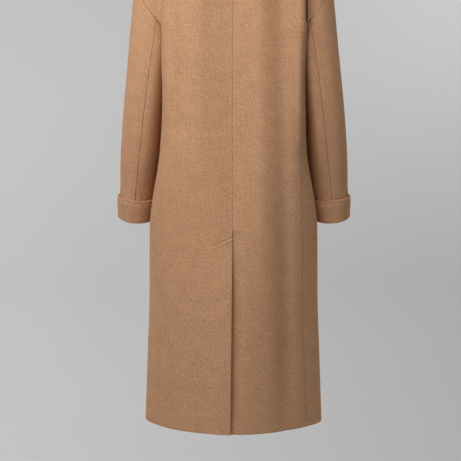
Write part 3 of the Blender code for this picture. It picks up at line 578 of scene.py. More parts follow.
def finer(grid):
    """A grid with FINER steps for each of its own, by the smooth cubic through each four points."""
    for _ in range(2):
        padded = np.concatenate([2 * grid[:1] - grid[1:2], grid, 2 * grid[-1:] - grid[-2:-1]])
        t = np.arange((len(grid) - 1) * FINER + 1) / FINER
        i = np.minimum(t.astype(int), len(grid) - 2)
        f = (t - i)[:, None, None]
        a, b, c, d = (padded[i + k] for k in range(4))
        square, cube = 2 * a - 5 * b + 4 * c - d, 3 * b - a - 3 * c + d
        grid = (0.5 * (2 * b + (c - a) * f + square * f**2 + cube * f**3)).swapaxes(0, 1)
    return grid


def upper_block(sign, bounds):
    """A panel above the armpit. The frame's coarse grid is evened out on its form and drawn finer,
    then its edges go to the true curves, and its inside goes onto the form away from the armhole."""
    form = sided(frame_form, sign)
    coarse = relax(form, fill(*bounds(1)), RELAX_STEPS)
    coarse[1:-1, 1:-1] = onto(form, coarse[1:-1, 1:-1], 4)
    grid, edges = finer(coarse), bounds(FINER)
    bottom, top, left, right = edges
    grid = grid + fill(bottom - grid[0], top - grid[-1], left - grid[:, 0], right - grid[:, -1])
    fine = sided(fine_form, sign)
    laid = relax(fine, onto(fine, grid, 6), 6)
    high = step(grid[:, 1:, 2], *LAID_HEIGHTS)
    start, end = (low + more * high for low, more in zip(LAID_AWAY, LAID_AWAY_MORE))
    away = step(running(grid)[:, 1:], start, end)
    share = np.concatenate([np.zeros((len(grid), 1)), away], 1) * step(grid[..., 2], *LAID_TOP)
    share = share[..., None]
    share[0], share[-1], share[:, -1] = 0.0, 0.0, 0.0
    return evened(grid * (1 - share) + laid * share)


def evened(grid):
    """Smooths an upper block's inside round its armhole corner, where its form is pinched."""
    near = 1 - step(np.linalg.norm(grid - grid[0, 0], axis=-1), *EVENED_REACH)
    for _ in range(EVENED_STEPS):
        around = grid[:-2, 1:-1] + grid[2:, 1:-1] + grid[1:-1, :-2] + grid[1:-1, 2:]
        grid[1:-1, 1:-1] += 0.5 * near[1:-1, 1:-1, None] * (around / 4 - grid[1:-1, 1:-1])
    return grid


def frame_form(p):
    """The frame's own form: joined above the armhole's surface and pressed below it."""
    share = step(above_armhole(p), -0.004, 0.004)
    return share * joined_form(p) + (1 - share) * pressed_form(p)


def lower_heights(extra=()):
    """Heights of the rows from the hem to the armpit, with fine steps at the hem and where asked."""
    even = np.linspace(HEM_HEIGHT + SEAM_STEPS[-1], ARMPIT_ROW, LOWER_ROWS)
    heights = np.concatenate([HEM_HEIGHT + np.array(SEAM_STEPS), even, [VENT_TOP], *extra])
    return np.unique(np.round(heights, 6))


def sections(form, heights, start, end):
    """Points round the body at each height: rays from its middle between two angles, in degrees."""
    angles = np.radians(start[:, None] + (end - start)[:, None] * np.linspace(0, 1, RAYS))
    rays = np.stack([np.cos(angles), np.sin(angles), 0 * angles], -1)
    origin = np.stack([0 * angles, 0 * angles, heights[:, None] + 0 * angles], -1)
    return ray_hit(form, origin, rays)


def even_columns(rows, count, start=True, end=True):
    """The same rows with evenly spaced columns, and fine ones at the seams."""
    return respace(rows, spread(running(rows)[..., -1:], count, start, end))


def crowded_columns(rows, count):
    """As even_columns does, but with the columns closer together round the drape fold's line."""
    run = running(rows)
    reach, gain = FOLD_CROWD
    weight = 1 + gain * np.exp(-(((rows[..., 0] - FOLD_LINE[0]) / reach) ** 2))
    load = np.cumsum((weight[:, 1:] + weight[:, :-1]) / 2 * np.diff(run), 1)
    load = np.concatenate([np.zeros((len(rows), 1)), load], 1)
    at = spread(run[:, -1:], count) * load[:, -1:] / run[:, -1:]
    return respace(rows, np.stack([np.interp(*row) for row in zip(at, load, run)]))


def above(block, rows, count, columns=even_columns):
    """The upper block with the lower rows' columns and evenly spaced rows, fine ones at its top."""
    block = columns(block, count)
    upright = block.swapaxes(0, 1)
    upright = respace(upright, spread(running(upright)[..., -1:], rows, False, True))
    return upright.swapaxes(0, 1)


def vent_share(z):
    """0 at the vent's top and 1 at the hem."""
    return np.clip((VENT_TOP - z) / (VENT_TOP - HEM_HEIGHT), 0, 1)


def vent_opening(z):
    """How far the vent gapes: 0 at its top, 1 from a third of its height down, less at the hem."""
    share = vent_share(z)
    return step(share, *VENT_OPENS) * (1 - VENT_CLOSING * step(share, *VENT_CLOSES))


def stitch_relief(p):
    """The slanted stitch line in the left back: a groove along a line, with a soft rise below it."""
    start, end = np.array([BACK_SEAM_ACROSS, VENT_TOP + 0.0010]), np.array(STITCH_END)
    run = end - start
    length = np.hypot(*run)
    run = run / length
    from_start = p[..., [0, 2]] - start
    along_line = from_start @ run
    across = from_start @ np.array([-run[1], run[0]])
    ends = step(along_line, -0.001, 0.001) * step(along_line, length + 0.002, length - 0.002)
    groove = STITCH_DEPTH * np.exp(-((across / STITCH_HALF_WIDTH) ** 2))
    puff = STITCH_PUFF * np.exp(-(((across + STITCH_PUFF_BELOW) / STITCH_PUFF_HALF_WIDTH) ** 2))
    return ends * np.where(p[..., 1] > 0, puff - groove, 0.0)


def layer_moves(p, sign):
    """How far the panels move out where they overlap: the right ones sink, the left vent edge lifts."""
    x, y, z = p[..., 0] * sign, p[..., 1], p[..., 2]
    edge = BACK_SEAM_ACROSS + VENT_LEAN * vent_share(z)
    if sign > 0:
        lift = VENT_GAPE * vent_opening(z) * step(x, edge + VENT_GAPE_RUN, edge)
        return np.where(y > 0, lift + stitch_relief(p), 0.0)
    sunk = CLOTH + LAYER_GAP + VENT_HOLLOW * vent_opening(z)
    vent = sunk * step(x, edge - SINK_RUN, edge) * step(z, VENT_TOP + VENT_SINK_RISE, VENT_TOP)
    front = (CLOTH + LAYER_GAP) * step(x, -FRONT_OVERLAP - SINK_RUN, -FRONT_OVERLAP)
    return -np.where(y > 0, vent, front)


def fold_line(p, sign):
    """How far the cloth dips in along the drape fold's sharp line above an armhole."""
    right = int(sign < 0)
    across = (p[..., 0] - FOLD_LINE[right]) / FOLD_LINE_HALF_WIDTH[right]
    ends = step(above_armhole(p), *FOLD_LINE_RISE) * step(p[..., 2], *FOLD_LINE_TOP)
    return FOLD_LINE_DEPTH[right] * np.exp(-(across**4)) * ends * step(p[..., 1], 0.0, 0.02)


# How much higher the worn hem hangs, by the distance across to the wearer's left.
HEM_RISE = Table(("across", "rise"), (
    (-0.215, 0.0000), (-0.150, -0.0020), (0.000, -0.0020), (0.120, -0.0010), (0.180, 0.0022), (0.215, 0.0042),
))


def hem_rise(p, sign):
    """How much higher the cloth hangs near the hem, because the worn hem isn't quite level."""
    return HEM_RISE.at(p[..., 0] * sign)[0] * step(p[..., 2], HEM_LIFT_TOP, HEM_HEIGHT)


# ---- cloth walls


class Cloth:
    """Points, quads and the cloth's own flat coordinates, joined from grids by shared columns."""

    def __init__(self):
        self.points, self.flat, self.quads, self.count = [], [], [], 0

    def add(self, grid, flat, shared=None, column=-1):
        """Adds a grid; its column at that end uses the given point numbers from its first row up."""
        index = np.full(grid.shape[:2], -1)
        if shared is not None:
            index[:len(shared), column] = shared
        new = index < 0
        index[new] = self.count + np.arange(new.sum())
        self.points.append(grid[new])
        self.flat.append(flat[new])
        self.count += int(new.sum())
        corners = index[:-1, :-1], index[:-1, 1:], index[1:, 1:], index[1:, :-1]
        self.quads.append(np.stack(corners, -1).reshape(-1, 4))
        return index

    def whole(self):
        return np.concatenate(self.points), np.concatenate(self.quads), np.concatenate(self.flat)


def point_normals(points, quads):
    """Each point's normal: the sum of its quads' crossed diagonals."""
    a, b, c, d = (points[quads[:, k]] for k in range(4))
    across = np.cross(c - a, d - b)
    normals = np.zeros_like(points)
    for k in range(4):
        np.add.at(normals, quads[:, k], across)
    return unit(normals)


def rim_edges(quads):
    """Edges that only one quad uses."""
    edges = np.concatenate([quads[:, [k, (k + 1) % 4]] for k in range(4)])
    _, first, uses = np.unique(np.sort(edges, 1), axis=0, return_index=True, return_counts=True)
    return edges[first[uses == 1]]


def rim_distance(points, quads, edges):
    """Distance from each point to the nearest straight piece of the rim, up to RIM_REACH."""
    near = np.zeros(len(points), bool)
    near[edges] = True
    for _ in range(len(SEAM_STEPS)):
        near[quads[near[quads].any(1)]] = True
    distance = np.full(len(points), RIM_REACH)
    a, run = points[edges[:, 0]], points[edges[:, 1]] - points[edges[:, 0]]
    size = np.maximum((run**2).sum(-1), 1e-16)
    for part in np.array_split(np.flatnonzero(near), near.sum() // 400 + 1):
        away = points[part][:, None] - a
        share = np.clip((away * run).sum(-1) / size, 0, 1)[..., None]
        distance[part] = np.minimum(np.linalg.norm(away - share * run, axis=-1).min(1), RIM_REACH)
    distance[edges] = 0.0
    return distance


def open_rim(points):
    """1 near a panel's hem, vent edge or front edge, which nothing is sewn to, and 0 elsewhere."""
    x, y, z = points.T
    hem = z < HEM_HEIGHT + 0.01
    vent = (np.abs(x) < 0.07) & (y > 0) & (z < VENT_TOP)
    front = (np.abs(x) < 0.06) & (y < 0) & (z < NECK_FRONT_HEIGHT)
    return np.where(hem | vent | front, 1.0, 0.0)


def shell(points, quads, thickness, outward, free):
    """A closed wall of cloth: the outer points and the inner ones, a thickness apart along their
    normals, share the points of the rim, and near it both round over to meet there: at half the
    thickness on a free edge, and close under the outer face on a sewn one. The centre back seam's
    points keep their place across, so that it stays closed."""
    normals = point_normals(points, quads)
    if (normals * outward).sum() < 0:
        quads, normals = quads[:, ::-1], -normals
    edges = rim_edges(quads)
    distance = rim_distance(points, quads, edges)
    rim_depth = SEAM_DIP + (thickness / 2 - SEAM_DIP) * free
    x = np.clip(1 - distance / (SEAM_ROUND_OVER + (ROUND_OVER - SEAM_ROUND_OVER) * free), 0, 1)
    over = 1 - np.sqrt(1 - x * x)
    dip, rise = rim_depth * over, (thickness - rim_depth) * over
    on_rim = np.zeros(len(points), bool)
    on_rim[edges] = True
    inner = np.where(on_rim, np.arange(len(points)), len(points) + np.cumsum(~on_rim) - 1)
    outer_points = points - normals * dip[:, None]
    centre_back = on_rim & (np.abs(points[:, 0]) < 0.003) & (points[:, 1] > 0)
    outer_points[centre_back, 0] = points[centre_back, 0]
    inner_points = (points - normals * (thickness - rise)[:, None])[~on_rim]
    faces = np.concatenate([quads, inner[quads[:, ::-1]]])
    return np.concatenate([outer_points, inner_points]), faces, distance, on_rim


def new_mesh(name, points, faces, material, flat=None, rim=None):
    """A smooth object from arrays of points and quads, with its cloth coordinates and rim distance."""
    mesh = bpy.data.meshes.new(name)
    mesh.vertices.add(len(points))
    mesh.vertices.foreach_set("co", points.astype(np.float32).ravel())
    mesh.loops.add(faces.size)
    mesh.loops.foreach_set("vertex_index", faces.astype(np.int32).ravel())
    mesh.polygons.add(len(faces))
    mesh.polygons.foreach_set("loop_start", np.arange(0, faces.size, 4, dtype=np.int32))
    mesh.update(calc_edges=True)
    mesh.validate()
    if flat is not None:
        layer = mesh.uv_layers.new(name="cloth")
        layer.data.foreach_set("uv", flat[faces.ravel()].astype(np.float32).ravel())
    if rim is not None:
        layer = mesh.attributes.new("rim", "FLOAT", "POINT")
        layer.data.foreach_set("value", rim.astype(np.float32))
    mesh.materials.append(material)
    mesh.shade_smooth()
    piece = bpy.data.objects.new(name, mesh)
    bpy.context.scene.collection.objects.link(piece)
    return piece


def fit(piece, node=None):
    """Lets a piece ride on the coat's one body, in place of the frame's solid of that name."""
    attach(piece, "root")
    if node:
        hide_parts(node)


def fit_cloth(piece, node):
    """Fits a piece of cloth."""
    fit(piece, node)


def cloth_piece(name, points, quads, flat, outward, sign, thickness=CLOTH, free=0.0, quiet=0.0):
    """A finished piece of cloth that stands for the frame's solid of that name. Free is 1 where its edge
    isn't sewn to another piece, which then gets no painted seam shade, and quiet is more where its seam gets
    less painted shade."""
    # the rim distance, which the wool reads for its painted seam shade, is pushed out where that painted
    # shade is less or none
    hidden = np.maximum(SEAM_PAINTED_SHADE * free, quiet) + np.zeros(len(points))
    flat = flat * [sign, 1]
    points, faces, distance, on_rim = shell(points, quads, thickness, outward, free)
    distance = distance + hidden
    flat, distance = np.concatenate([flat, flat[~on_rim]]), np.concatenate([distance, distance[~on_rim]])
    if sign < 0:
        points, faces = points * MIRROR, faces[:, ::-1]
    fit_cloth(new_mesh(name + "_cloth", points, faces, wool(), flat, distance), name)


# ---- the pieces


def hem_thickness(points):
    """The wall's thickness: more where the hem is turned up inside."""
    return CLOTH + HEM_EXTRA * step(points[:, 2], HEM_HEIGHT + HEM_TURN + 0.0015, HEM_HEIGHT + HEM_TURN)


def cloth_flat(grid, start=0.0):
    """The cloth's flat coordinates: distance along each row, up to its last column, and height."""
    run = running(grid)
    return np.stack([start + run - run[:, -1:], grid[..., 2]], -1)


def back_bounds(sign, lower_top):
    """The four edges of the back above the armpit, for any number of steps to each of the frame's."""
    form = sided(frame_form, sign)

    def bounds(k):
        left = sleeve_point(ARMHOLE_CENTRE, np.linspace(ARMHOLE_BACK, 0, UPPER_ROWS * k + 1))
        heights = np.linspace(ARMPIT_ROW, 0.0, UPPER_ROWS * k + 1)
        right = straight_out(form, sign * BACK_SEAM_ACROSS, heights, 1)
        turns = np.linspace(90.0, 0.0, (BACK_COLUMNS - SHOULDER_COLUMNS) * k + 1)[1:]
        top = np.concatenate([shoulder_seam(form, SHOULDER_COLUMNS * k)[::-1], neck_point(form, turns)])
        bottom = along(lower_top, BACK_COLUMNS * k)
        top[-1], bottom[0], bottom[-1] = right[-1], left[0], right[0]
        return bottom, top, left, right

    return bounds


def back_cloth(sign):
    """A back panel: sections up to the armpit, the relaxed block above them, and the vent's layer."""
    form = sided(pressed_form, sign)
    band = np.linspace(VENT_TOP - 0.027, VENT_TOP + 0.003, 31) if sign > 0 else ()
    heights = lower_heights([band])
    edge = sign * (BACK_SEAM_ACROSS + VENT_LEAN * vent_share(heights))
    centre = straight_out(form, edge, heights, 1)
    end = np.degrees(np.arctan2(centre[:, 1], centre[:, 0]))
    rows = sections(form, heights, line_angles(heights)[0], end)
    rows[:, -1] = centre
    lower = crowded_columns(rows, BACK_COUNT)
    block = upper_block(sign, back_bounds(sign, rows[-1]))
    upper = above(block, BACK_ROWS, BACK_COUNT, crowded_columns)
    grid = np.concatenate([lower, upper[1:]])
    cloth = Cloth()
    index = cloth.add(grid, cloth_flat(grid))
    if sign < 0:
        share = (heights - HEM_HEIGHT) / (VENT_TOP - HEM_HEIGHT)
        share = share[heights <= VENT_TOP + 1e-9][:, None]
        start = BACK_SEAM_ACROSS + VENT_LEAN * (1 - share)
        across = start + spread(BACK_SEAM_ACROSS + VENT_WIDTH - start, LAYER_COUNT, False, True)
        reach = (across - start) / (BACK_SEAM_ACROSS + VENT_WIDTH - start)
        z = HEM_HEIGHT + (VENT_TOP - HEM_HEIGHT) * share - VENT_SLANT * share * reach
        layer = straight_out(form, -across.ravel(), z.ravel(), 1).reshape(*across.shape, 3)
        flat = np.stack([across, z], -1)
        cloth.add(layer, flat, index[:len(layer), -1], 0)
    return cloth.whole()


def front_bounds(sign, lower_top):
    """The four edges of a front above the armpit, for any number of steps to each of the frame's."""
    form = sided(frame_form, sign)

    def bounds(k):
        left = sleeve_point(ARMHOLE_CENTRE, np.linspace(ARMHOLE_FRONT, 360, UPPER_ROWS * k + 1))
        turns = np.linspace(90.0, 180.0, (FRONT_COLUMNS - SHOULDER_COLUMNS - 1) * k + 1)[1:]
        last = 180.0 + np.degrees(np.arcsin(FRONT_OVERLAP / NECK_HALF_WIDTH))
        turns = np.concatenate([turns, np.linspace(180.0, last, k + 1)[1:]])
        top = np.concatenate([shoulder_seam(form, SHOULDER_COLUMNS * k)[::-1], neck_point(form, turns)])
        heights = np.linspace(ARMPIT_ROW, top[-1, 2], UPPER_ROWS * k + 1)
        across = np.linspace(-FRONT_OVERLAP, top[-1, 0], UPPER_ROWS * k + 1)
        right = straight_out(form, across, heights, -1)
        bottom = along(lower_top, FRONT_COLUMNS * k)
        top[-1], bottom[0], bottom[-1] = right[-1], left[0], right[0]
        return bottom, top, left, right

    return bounds


def strip_rows(form, heights):
    """The strip below the armhole: sections whose top rows bend until they follow the armhole."""
    under = sleeve_point(ARMHOLE_CENTRE, np.linspace(ARMHOLE_BACK, ARMHOLE_FRONT, RAYS))
    share = step(heights, ARMPIT_TURN, ARMPIT_ROW)[:, None]
    start, end = line_angles(heights)
    turn = np.arctan2(under[:, 1], under[:, 0])
    part = np.linspace(0, 1, RAYS) * (1 - share) + (turn - turn[0]) / (turn[-1] - turn[0]) * share
    angles = np.radians(start[:, None] + (end - start)[:, None] * part)
    z = heights[:, None] + share * (under[:, 2] - ARMPIT_ROW)
    rays = np.stack([np.cos(angles), np.sin(angles), 0 * angles], -1)
    rows = ray_hit(form, np.stack([0 * z, 0 * z, z], -1), rays)
    rows[-1] = under
    return rows


def front_cloth(sign):
    """A front: the strip below the armhole, the sections to the front edge and the block above."""
    form = sided(pressed_form, sign)
    top_steps = ARMPIT_ROW - np.array(SEAM_STEPS)
    heights = lower_heights([top_steps])
    edge = straight_out(form, -FRONT_OVERLAP, heights, -1)
    end = np.degrees(np.arctan2(edge[:, 1], edge[:, 0]))
    rows = sections(form, heights, line_angles(heights)[1], end)
    rows[:, -1] = edge
    strip = strip_rows(form, heights)
    rows[:, 0] = strip[:, -1]
    lower = even_columns(rows, FRONT_COUNT)
    upper = above(upper_block(sign, front_bounds(sign, rows[-1])), FRONT_ROWS, FRONT_COUNT)
    grid = np.concatenate([lower, upper[1:]])
    strip = even_columns(strip, STRIP_COUNT, True, False)
    strip[:, -1] = lower[:, 0]
    cloth = Cloth()
    flat = cloth_flat(grid)
    index = cloth.add(grid, flat)
    cloth.add(strip, cloth_flat(strip, flat[:len(strip), :1, 0]), index[:len(strip), 0], -1)
    return cloth.whole()


def panel(name, made, sign):
    """A body panel from its joined grids, with its shoulder eased, moved out or in where two layers lie over
    each other, and along the drape fold's line and the hem. Its seam gets less painted shade at the centre
    back, and at the side seam of the wearer's left."""
    points, quads, flat = made
    points = eased_shoulder(points, sign)
    outward = points * [1, 1, 0]
    normals = point_normals(points, quads)
    if (normals * outward).sum() < 0:
        quads, normals = quads[:, ::-1], -normals
    moved = points + normals * layer_moves(points, sign)[:, None]
    moved[:, 1] -= fold_line(points, sign)
    moved[:, 2] += hem_rise(points, sign)
    x, _, z = points.T
    # less painted seam shade at the centre back and at the left side seam
    quiet = np.where(np.abs(x) < 0.03, QUIET_CENTRE, 0.0)
    if sign > 0:
        quiet = np.where((x > 0.14) & (z < -0.32), QUIET_SIDE, quiet)
    thickness = hem_thickness(points)
    cloth_piece(name, moved, quads, flat, outward, sign, thickness, open_rim(points), quiet)


# Soft folds inside the elbow: the wearer's left (1) or right (-1), height, angle round the sleeve in
# degrees, half height, half angle, how much higher they run for each degree, and depth.
SleeveFold = namedtuple("SleeveFold", "side height angle half_height half_angle slant depth")
SLEEVE_FOLDS = (
    SleeveFold(1, -0.500, 250.0, 0.010, 42.0, 0.00015, 0.0028),
    SleeveFold(1, -0.535, 262.0, 0.011, 46.0, -0.00012, 0.0032),
    SleeveFold(1, -0.470, 268.0, 0.012, 40.0, 0.00022, 0.0022),
    SleeveFold(-1, -0.508, 256.0, 0.011, 44.0, -0.00010, 0.0030),
    SleeveFold(-1, -0.545, 266.0, 0.010, 40.0, 0.00014, 0.0026),
    SleeveFold(-1, -0.474, 262.0, 0.013, 42.0, -0.00020, 0.0022),
)
PUCKER_DEPTH = 0.0026
SLEEVE_FULLNESS = (0.0070, 0.0130)  # how much fuller the back of the left and right sleeve is
SLEEVE_FULLNESS_TURN = (122.0, 22.0)  # the middle of that fullness round the arm, and its reach
SLEEVE_FULLNESS_LOW = (0.05, 0.16)  # heights above the cuff over which it comes in
SLEEVE_FULLNESS_HIGH = (0.003, 0.050)  # depths below the armhole over which it does
SLEEVE_DRAW = ((0.0020, 0.0034), (0.0, 0.0026))  # how far each sleeve's outside is drawn in, and its cuff
SLEEVE_DRAW_HEIGHTS = ((-0.30, -0.45), (-0.58, -0.69))
GATHERS = (27, 21)  # puckers round the right and the left sleeve above the cuff
GATHER_HALF_HEIGHT = 0.013
GATHER_TURN = (62.0, 30.0)  # where the right sleeve's are deepest, and their reach


def sleeve_turn(p):
    """Degrees round the arm: 0 on its outside and 90 at its back."""
    across, half_width, middle, half_depth = arm_oval(p[..., 2])
    turn = np.arctan2((p[..., 1] - middle) / half_depth, (p[..., 0] - across) / half_width)
    return np.degrees(turn) % 360


def sleeve_shift(p, sign):
    """How a sleeve's cloth hangs off its smooth form: fuller at its back, and its outside drawn in."""
    right, turn = int(sign < 0), sleeve_turn(p)
    ends = step(p[..., 2] - CUFF_CENTRE, *SLEEVE_FULLNESS_LOW)
    ends = ends * step(-above_armhole(p), *SLEEVE_FULLNESS_HIGH)
    centre, reach = SLEEVE_FULLNESS_TURN
    full = SLEEVE_FULLNESS[right] * ends * np.exp(-(((turn - centre) / reach) ** 2))
    sleeve, cuff = SLEEVE_DRAW[right]
    upper, lower = SLEEVE_DRAW_HEIGHTS
    draw = sleeve * step(p[..., 2], *upper) + cuff * step(p[..., 2], *lower)
    draw = draw * step(np.cos(np.radians(turn)), 0.0, 0.7)
    return np.stack([-draw, full, 0 * full], -1)


def sleeve_relief(p, sign):
    """How far a sleeve's cloth stands out: troughs inside the elbow and puckers above the cuff."""
    turn = sleeve_turn(p)
    out = np.zeros(p.shape[:-1])
    for fold in SLEEVE_FOLDS:
        if fold.side != sign:
            continue
        round_it = np.cos(np.radians(turn - fold.angle))
        reach = np.exp(-((np.degrees(np.arccos(np.clip(round_it, -1, 1))) / fold.half_angle) ** 2))
        height = fold.height + fold.slant * (turn - fold.angle)
        out -= fold.depth * reach * np.exp(-(((p[..., 2] - height) / fold.half_height) ** 2))
    rim = CUFF_CENTRE + CUFF_HEIGHT + 0.1 * (p[..., 0] - 0.24) - 0.27 * (p[..., 1] + 0.054)
    gather = np.exp(-(((p[..., 2] - rim - 0.004) / GATHER_HALF_HEIGHT) ** 2))
    puckers = np.sin(np.radians(turn * GATHERS[int(sign > 0)]) + 0.6 * np.sin(np.radians(turn * 5)))
    middle, reach = GATHER_TURN
    place = 0.4 + 0.6 * np.exp(-(((turn - middle) / reach) ** 2)) if sign < 0 else 0.35
    return out + PUCKER_DEPTH * gather * puckers * place


def sleeve_cloth(part):
    """A sleeve piece: rings of the arm from its cut end to the armhole, between its two seams."""
    centres = np.linspace(CUFF_CENTRE + SLEEVE_END, ARMHOLE_CENTRE, SLEEVE_RINGS)
    back, front = SLEEVE_SEAMS.at(centres)
    start, end = (back, front) if part == "under" else (front, back + 360)
    angles = start[:, None] + (end - start)[:, None] * np.linspace(0, 1, RAYS)
    rings = sleeve_point(centres[:, None], angles)
    grid = above(rings, SLEEVE_ROWS, SLEEVE_COUNTS[part])
    upright = grid.swapaxes(0, 1)
    up = running(upright).swapaxes(0, 1)
    cloth = Cloth()
    cloth.add(grid, np.stack([running(grid), up], -1))
    return cloth.whole()


def sleeve_piece(side, part, sign):
    """A sleeve piece: its rings' points moved out by its troughs and puckers, and as it hangs."""
    points, quads, flat = sleeve_cloth(part)
    across, _, middle, _ = arm_oval(points[:, 2])
    outward = points - np.stack([across, middle, points[:, 2]], -1)
    normals = unit(gradient(arm_distance, points))
    points = points + normals * sleeve_relief(points, sign)[:, None] + sleeve_shift(points, sign)
    cloth_piece(f"sleeve_{part}_{side}", points, quads, flat, outward, sign)


CUFF_WAIST = (0.0011, 0.0068, 0.0022)  # the dip under the rim: depth, place below the top, half height
CUFF_STATION = 2.5  # degrees from one station to the next
CUFF_SEAM_NEAR = (0.0, 0.6, 1.2, 1.9, 2.8, 4.0)  # degrees off each seam of the stations beside it
CUFF_SEAM_HALF_WIDTH = 0.9  # degrees
CUFF_SEAM_DEPTH = 0.0008
CUFF_RAISED = 0.0016  # how much higher the worn cuff's fold lies
CUFF_OUTSIDE_LOW = 0.0040  # and how much lower its rim is on the outside


def cuff_profile():
    """Out and up of the turned-up cuff's closed outline, from the sleeve's outer face at the fold:
    a half circle under the fold, a leg that bulges a little, a rolled rim and the leg's inner face."""
    inner, outer = CUFF_AIR / 2, CUFF_AIR / 2 + CLOTH
    turn = np.radians(np.linspace(180, 360, 15))
    under = np.stack([inner + outer * np.cos(turn), outer + outer * np.sin(turn)], -1)
    back = np.stack([inner + inner * np.cos(turn[::-2]), outer + inner * np.sin(turn[::-2])], -1)
    radius = CUFF_RIM / 2
    share = np.linspace(0, 1, 17)[1:]
    rise = outer + (CUFF_HEIGHT - radius - outer) * share
    start, stop = inner + outer, CUFF_AIR + CUFF_FLARE + CUFF_RIM
    swell = CUFF_BULGE * np.sin(np.pi * share)
    depth, below, half_height = CUFF_WAIST
    waist = depth * np.exp(-(((rise - (CUFF_HEIGHT - below)) / half_height) ** 2))
    leg = np.stack([start + (stop - start) * step(share, 0.2, 1.0) + swell - waist, rise], -1)
    turn = np.radians(np.linspace(0, 180, 11)[1:])
    rim = np.stack([stop - radius + radius * np.cos(turn), CUFF_HEIGHT - radius + radius * np.sin(turn)], -1)
    share = np.linspace(0, 1, 9)[1:-1]
    down = np.stack([(CUFF_AIR + CUFF_FLARE) * (1 - share) + CUFF_AIR * share,
                     (CUFF_HEIGHT - radius) * (1 - share) + outer * share], -1)
    end = SLEEVE_END - SEAM_GAP
    return np.concatenate([[(-CLOTH, end)], under, leg, rim, down, back, [(0.0, end)]])


def cuff_piece(side, sign):
    """The turned-up cuff: its outline carried round the wrist, with a groove where its seam runs."""
    back, front = SLEEVE_SEAMS.at(CUFF_CENTRE)
    near = np.concatenate([-np.array(CUFF_SEAM_NEAR[:0:-1]), CUFF_SEAM_NEAR])
    angles = np.concatenate([np.arange(0, 360, CUFF_STATION), back + near, front + near])
    angles = np.unique(angles % 360)
    base = sleeve_point(CUFF_CENTRE, angles)
    up = unit(sleeve_point(CUFF_CENTRE + 0.03, angles) - base)
    out = gradient(arm_distance, base)
    out = unit(out - up * (out * up).sum(-1, keepdims=True))
    profile = cuff_profile()
    seam = sum(np.exp(-(((angles - at) / CUFF_SEAM_HALF_WIDTH) ** 2)) for at in (back, front))
    outside = step(profile[:, 0], 0.0030, 0.0038)
    rolls = 0.0004 * np.sin(np.radians(angles * 3 + 40 * sign)) + 0.0003 * np.sin(np.radians(angles * 7))
    reach = profile[None, :, 0] + outside * (rolls - CUFF_SEAM_DEPTH * seam)[:, None]
    lift = 0.0010 * np.sin(np.radians(2 * angles + 30)) + 0.0006 * np.sin(np.radians(5 * angles + 60 * sign))
    rise = profile[None, :, 1] + step(profile[:, 1], 0.01, CUFF_HEIGHT) * lift[:, None]
    grid = base[:, None] + out[:, None] * reach[..., None] + up[:, None] * rise[..., None]
    grid = grid + sleeve_shift(base, sign)[:, None]
    outer = step(np.cos(np.radians(angles)), 0.2, 1.0)[:, None]
    lowered = (CUFF_RAISED + CUFF_OUTSIDE_LOW * outer) * step(profile[:, 1], 0.01, CUFF_HEIGHT)
    grid[..., 2] += CUFF_RAISED - lowered
    stations, outline = grid.shape[:2]
    i, k = np.meshgrid(np.arange(stations), np.arange(outline), indexing="ij")
    after, ahead = (i + 1) % stations, (k + 1) % outline
    faces = np.stack([i * outline + k, after * outline + k, after * outline + ahead, i * outline + ahead], -1)
    faces, points = faces.reshape(-1, 4), grid.reshape(-1, 3)
    normals = point_normals(points, faces)
    if (normals.reshape(grid.shape) * (grid - grid.mean(1, keepdims=True))).sum() < 0:
        faces = faces[:, ::-1]
    along_rim = np.concatenate([[0], np.cumsum(np.linalg.norm(np.diff(base, axis=0), axis=1))])
    flat = np.stack(np.broadcast_arrays(along_rim[:, None], profile[None, :, 1] + 0.5), -1).reshape(-1, 2)
    # painted shade: the rim distance falls to 0 along the cuff's seam grooves, where the wool is painted
    # darker
    distance = RIM_REACH * (1 - np.clip(seam, 0, 1))[:, None] + np.zeros(outline)
    if sign < 0:
        points, faces = points * MIRROR, faces[:, ::-1]
    piece = new_mesh(f"cuff_{side}_cloth", points, faces, wool(), flat, distance.ravel())
    fit_cloth(piece, f"cuff_{side}")


def collar_half(sign, turns):
    """Stations of the collar: up the stand's outer face, over the roll and down the leaf, which is
    pushed out wherever it would lie too close to the shoulder."""
    form = sided(joined_form, sign)
    seat = neck_point(form, turns)
    normal = unit(gradient(form, seat))
    seat = seat + normal * np.minimum(layer_moves(seat, sign), 0)[:, None]
    run = np.gradient(seat, axis=0)
    run[-1] = run[-1] * [1, 0, 0]
    run[0] = run[0] * [1, 0, 0]
    rise = unit(np.cross(run, normal))
    rise = rise * np.sign(rise[:, 2:])
    turn = np.radians(turns)
    out = np.stack([np.sin(turn), np.cos(turn), 0 * turn], -1)
    height, edge_height, edge_turn = COLLAR.at(turns)
    low = seat + rise * SEAM_GAP
    top = low + height[:, None] * unit(np.array([0, 0, 1.0]) - COLLAR_LEAN * out)
    bend = low + rise * COLLAR_BEND * height[:, None]
    t = np.linspace(0, 1, 15)[None, :, None]
    stand = low[:, None] * (1 - t) ** 2 + bend[:, None] * 2 * t * (1 - t) + top[:, None] * t * t
    a = np.radians(np.linspace(0, 180, 10)[1:])[None, :, None]
    lift = np.array([0, 0, COLLAR_ROLL])
    roll = top[:, None] + out[:, None] * COLLAR_ROLL * (1 - np.cos(a)) + lift * np.sin(a)
    aim = np.radians(90 - edge_turn)
    rays = np.stack([np.cos(aim), np.sin(aim), 0 * aim], -1)
    edge = ray_hit(form, np.stack([0 * aim, 0 * aim, edge_height], -1), rays)
    edge = edge + unit(gradient(form, edge)) * COLLAR_AIR
    t = np.linspace(0, 1, 25)[None, 1:, None]
    leaf = roll[:, -1:] * (1 - t) + edge[:, None] * t
    for _ in range(6):
        slope = gradient(form, leaf)
        short = np.maximum(COLLAR_AIR - form(leaf) / np.linalg.norm(slope, axis=-1), 0)
        leaf = leaf + unit(slope) * short[..., None]
    return np.concatenate([stand, roll, leaf], axis=1), stand.shape[1]


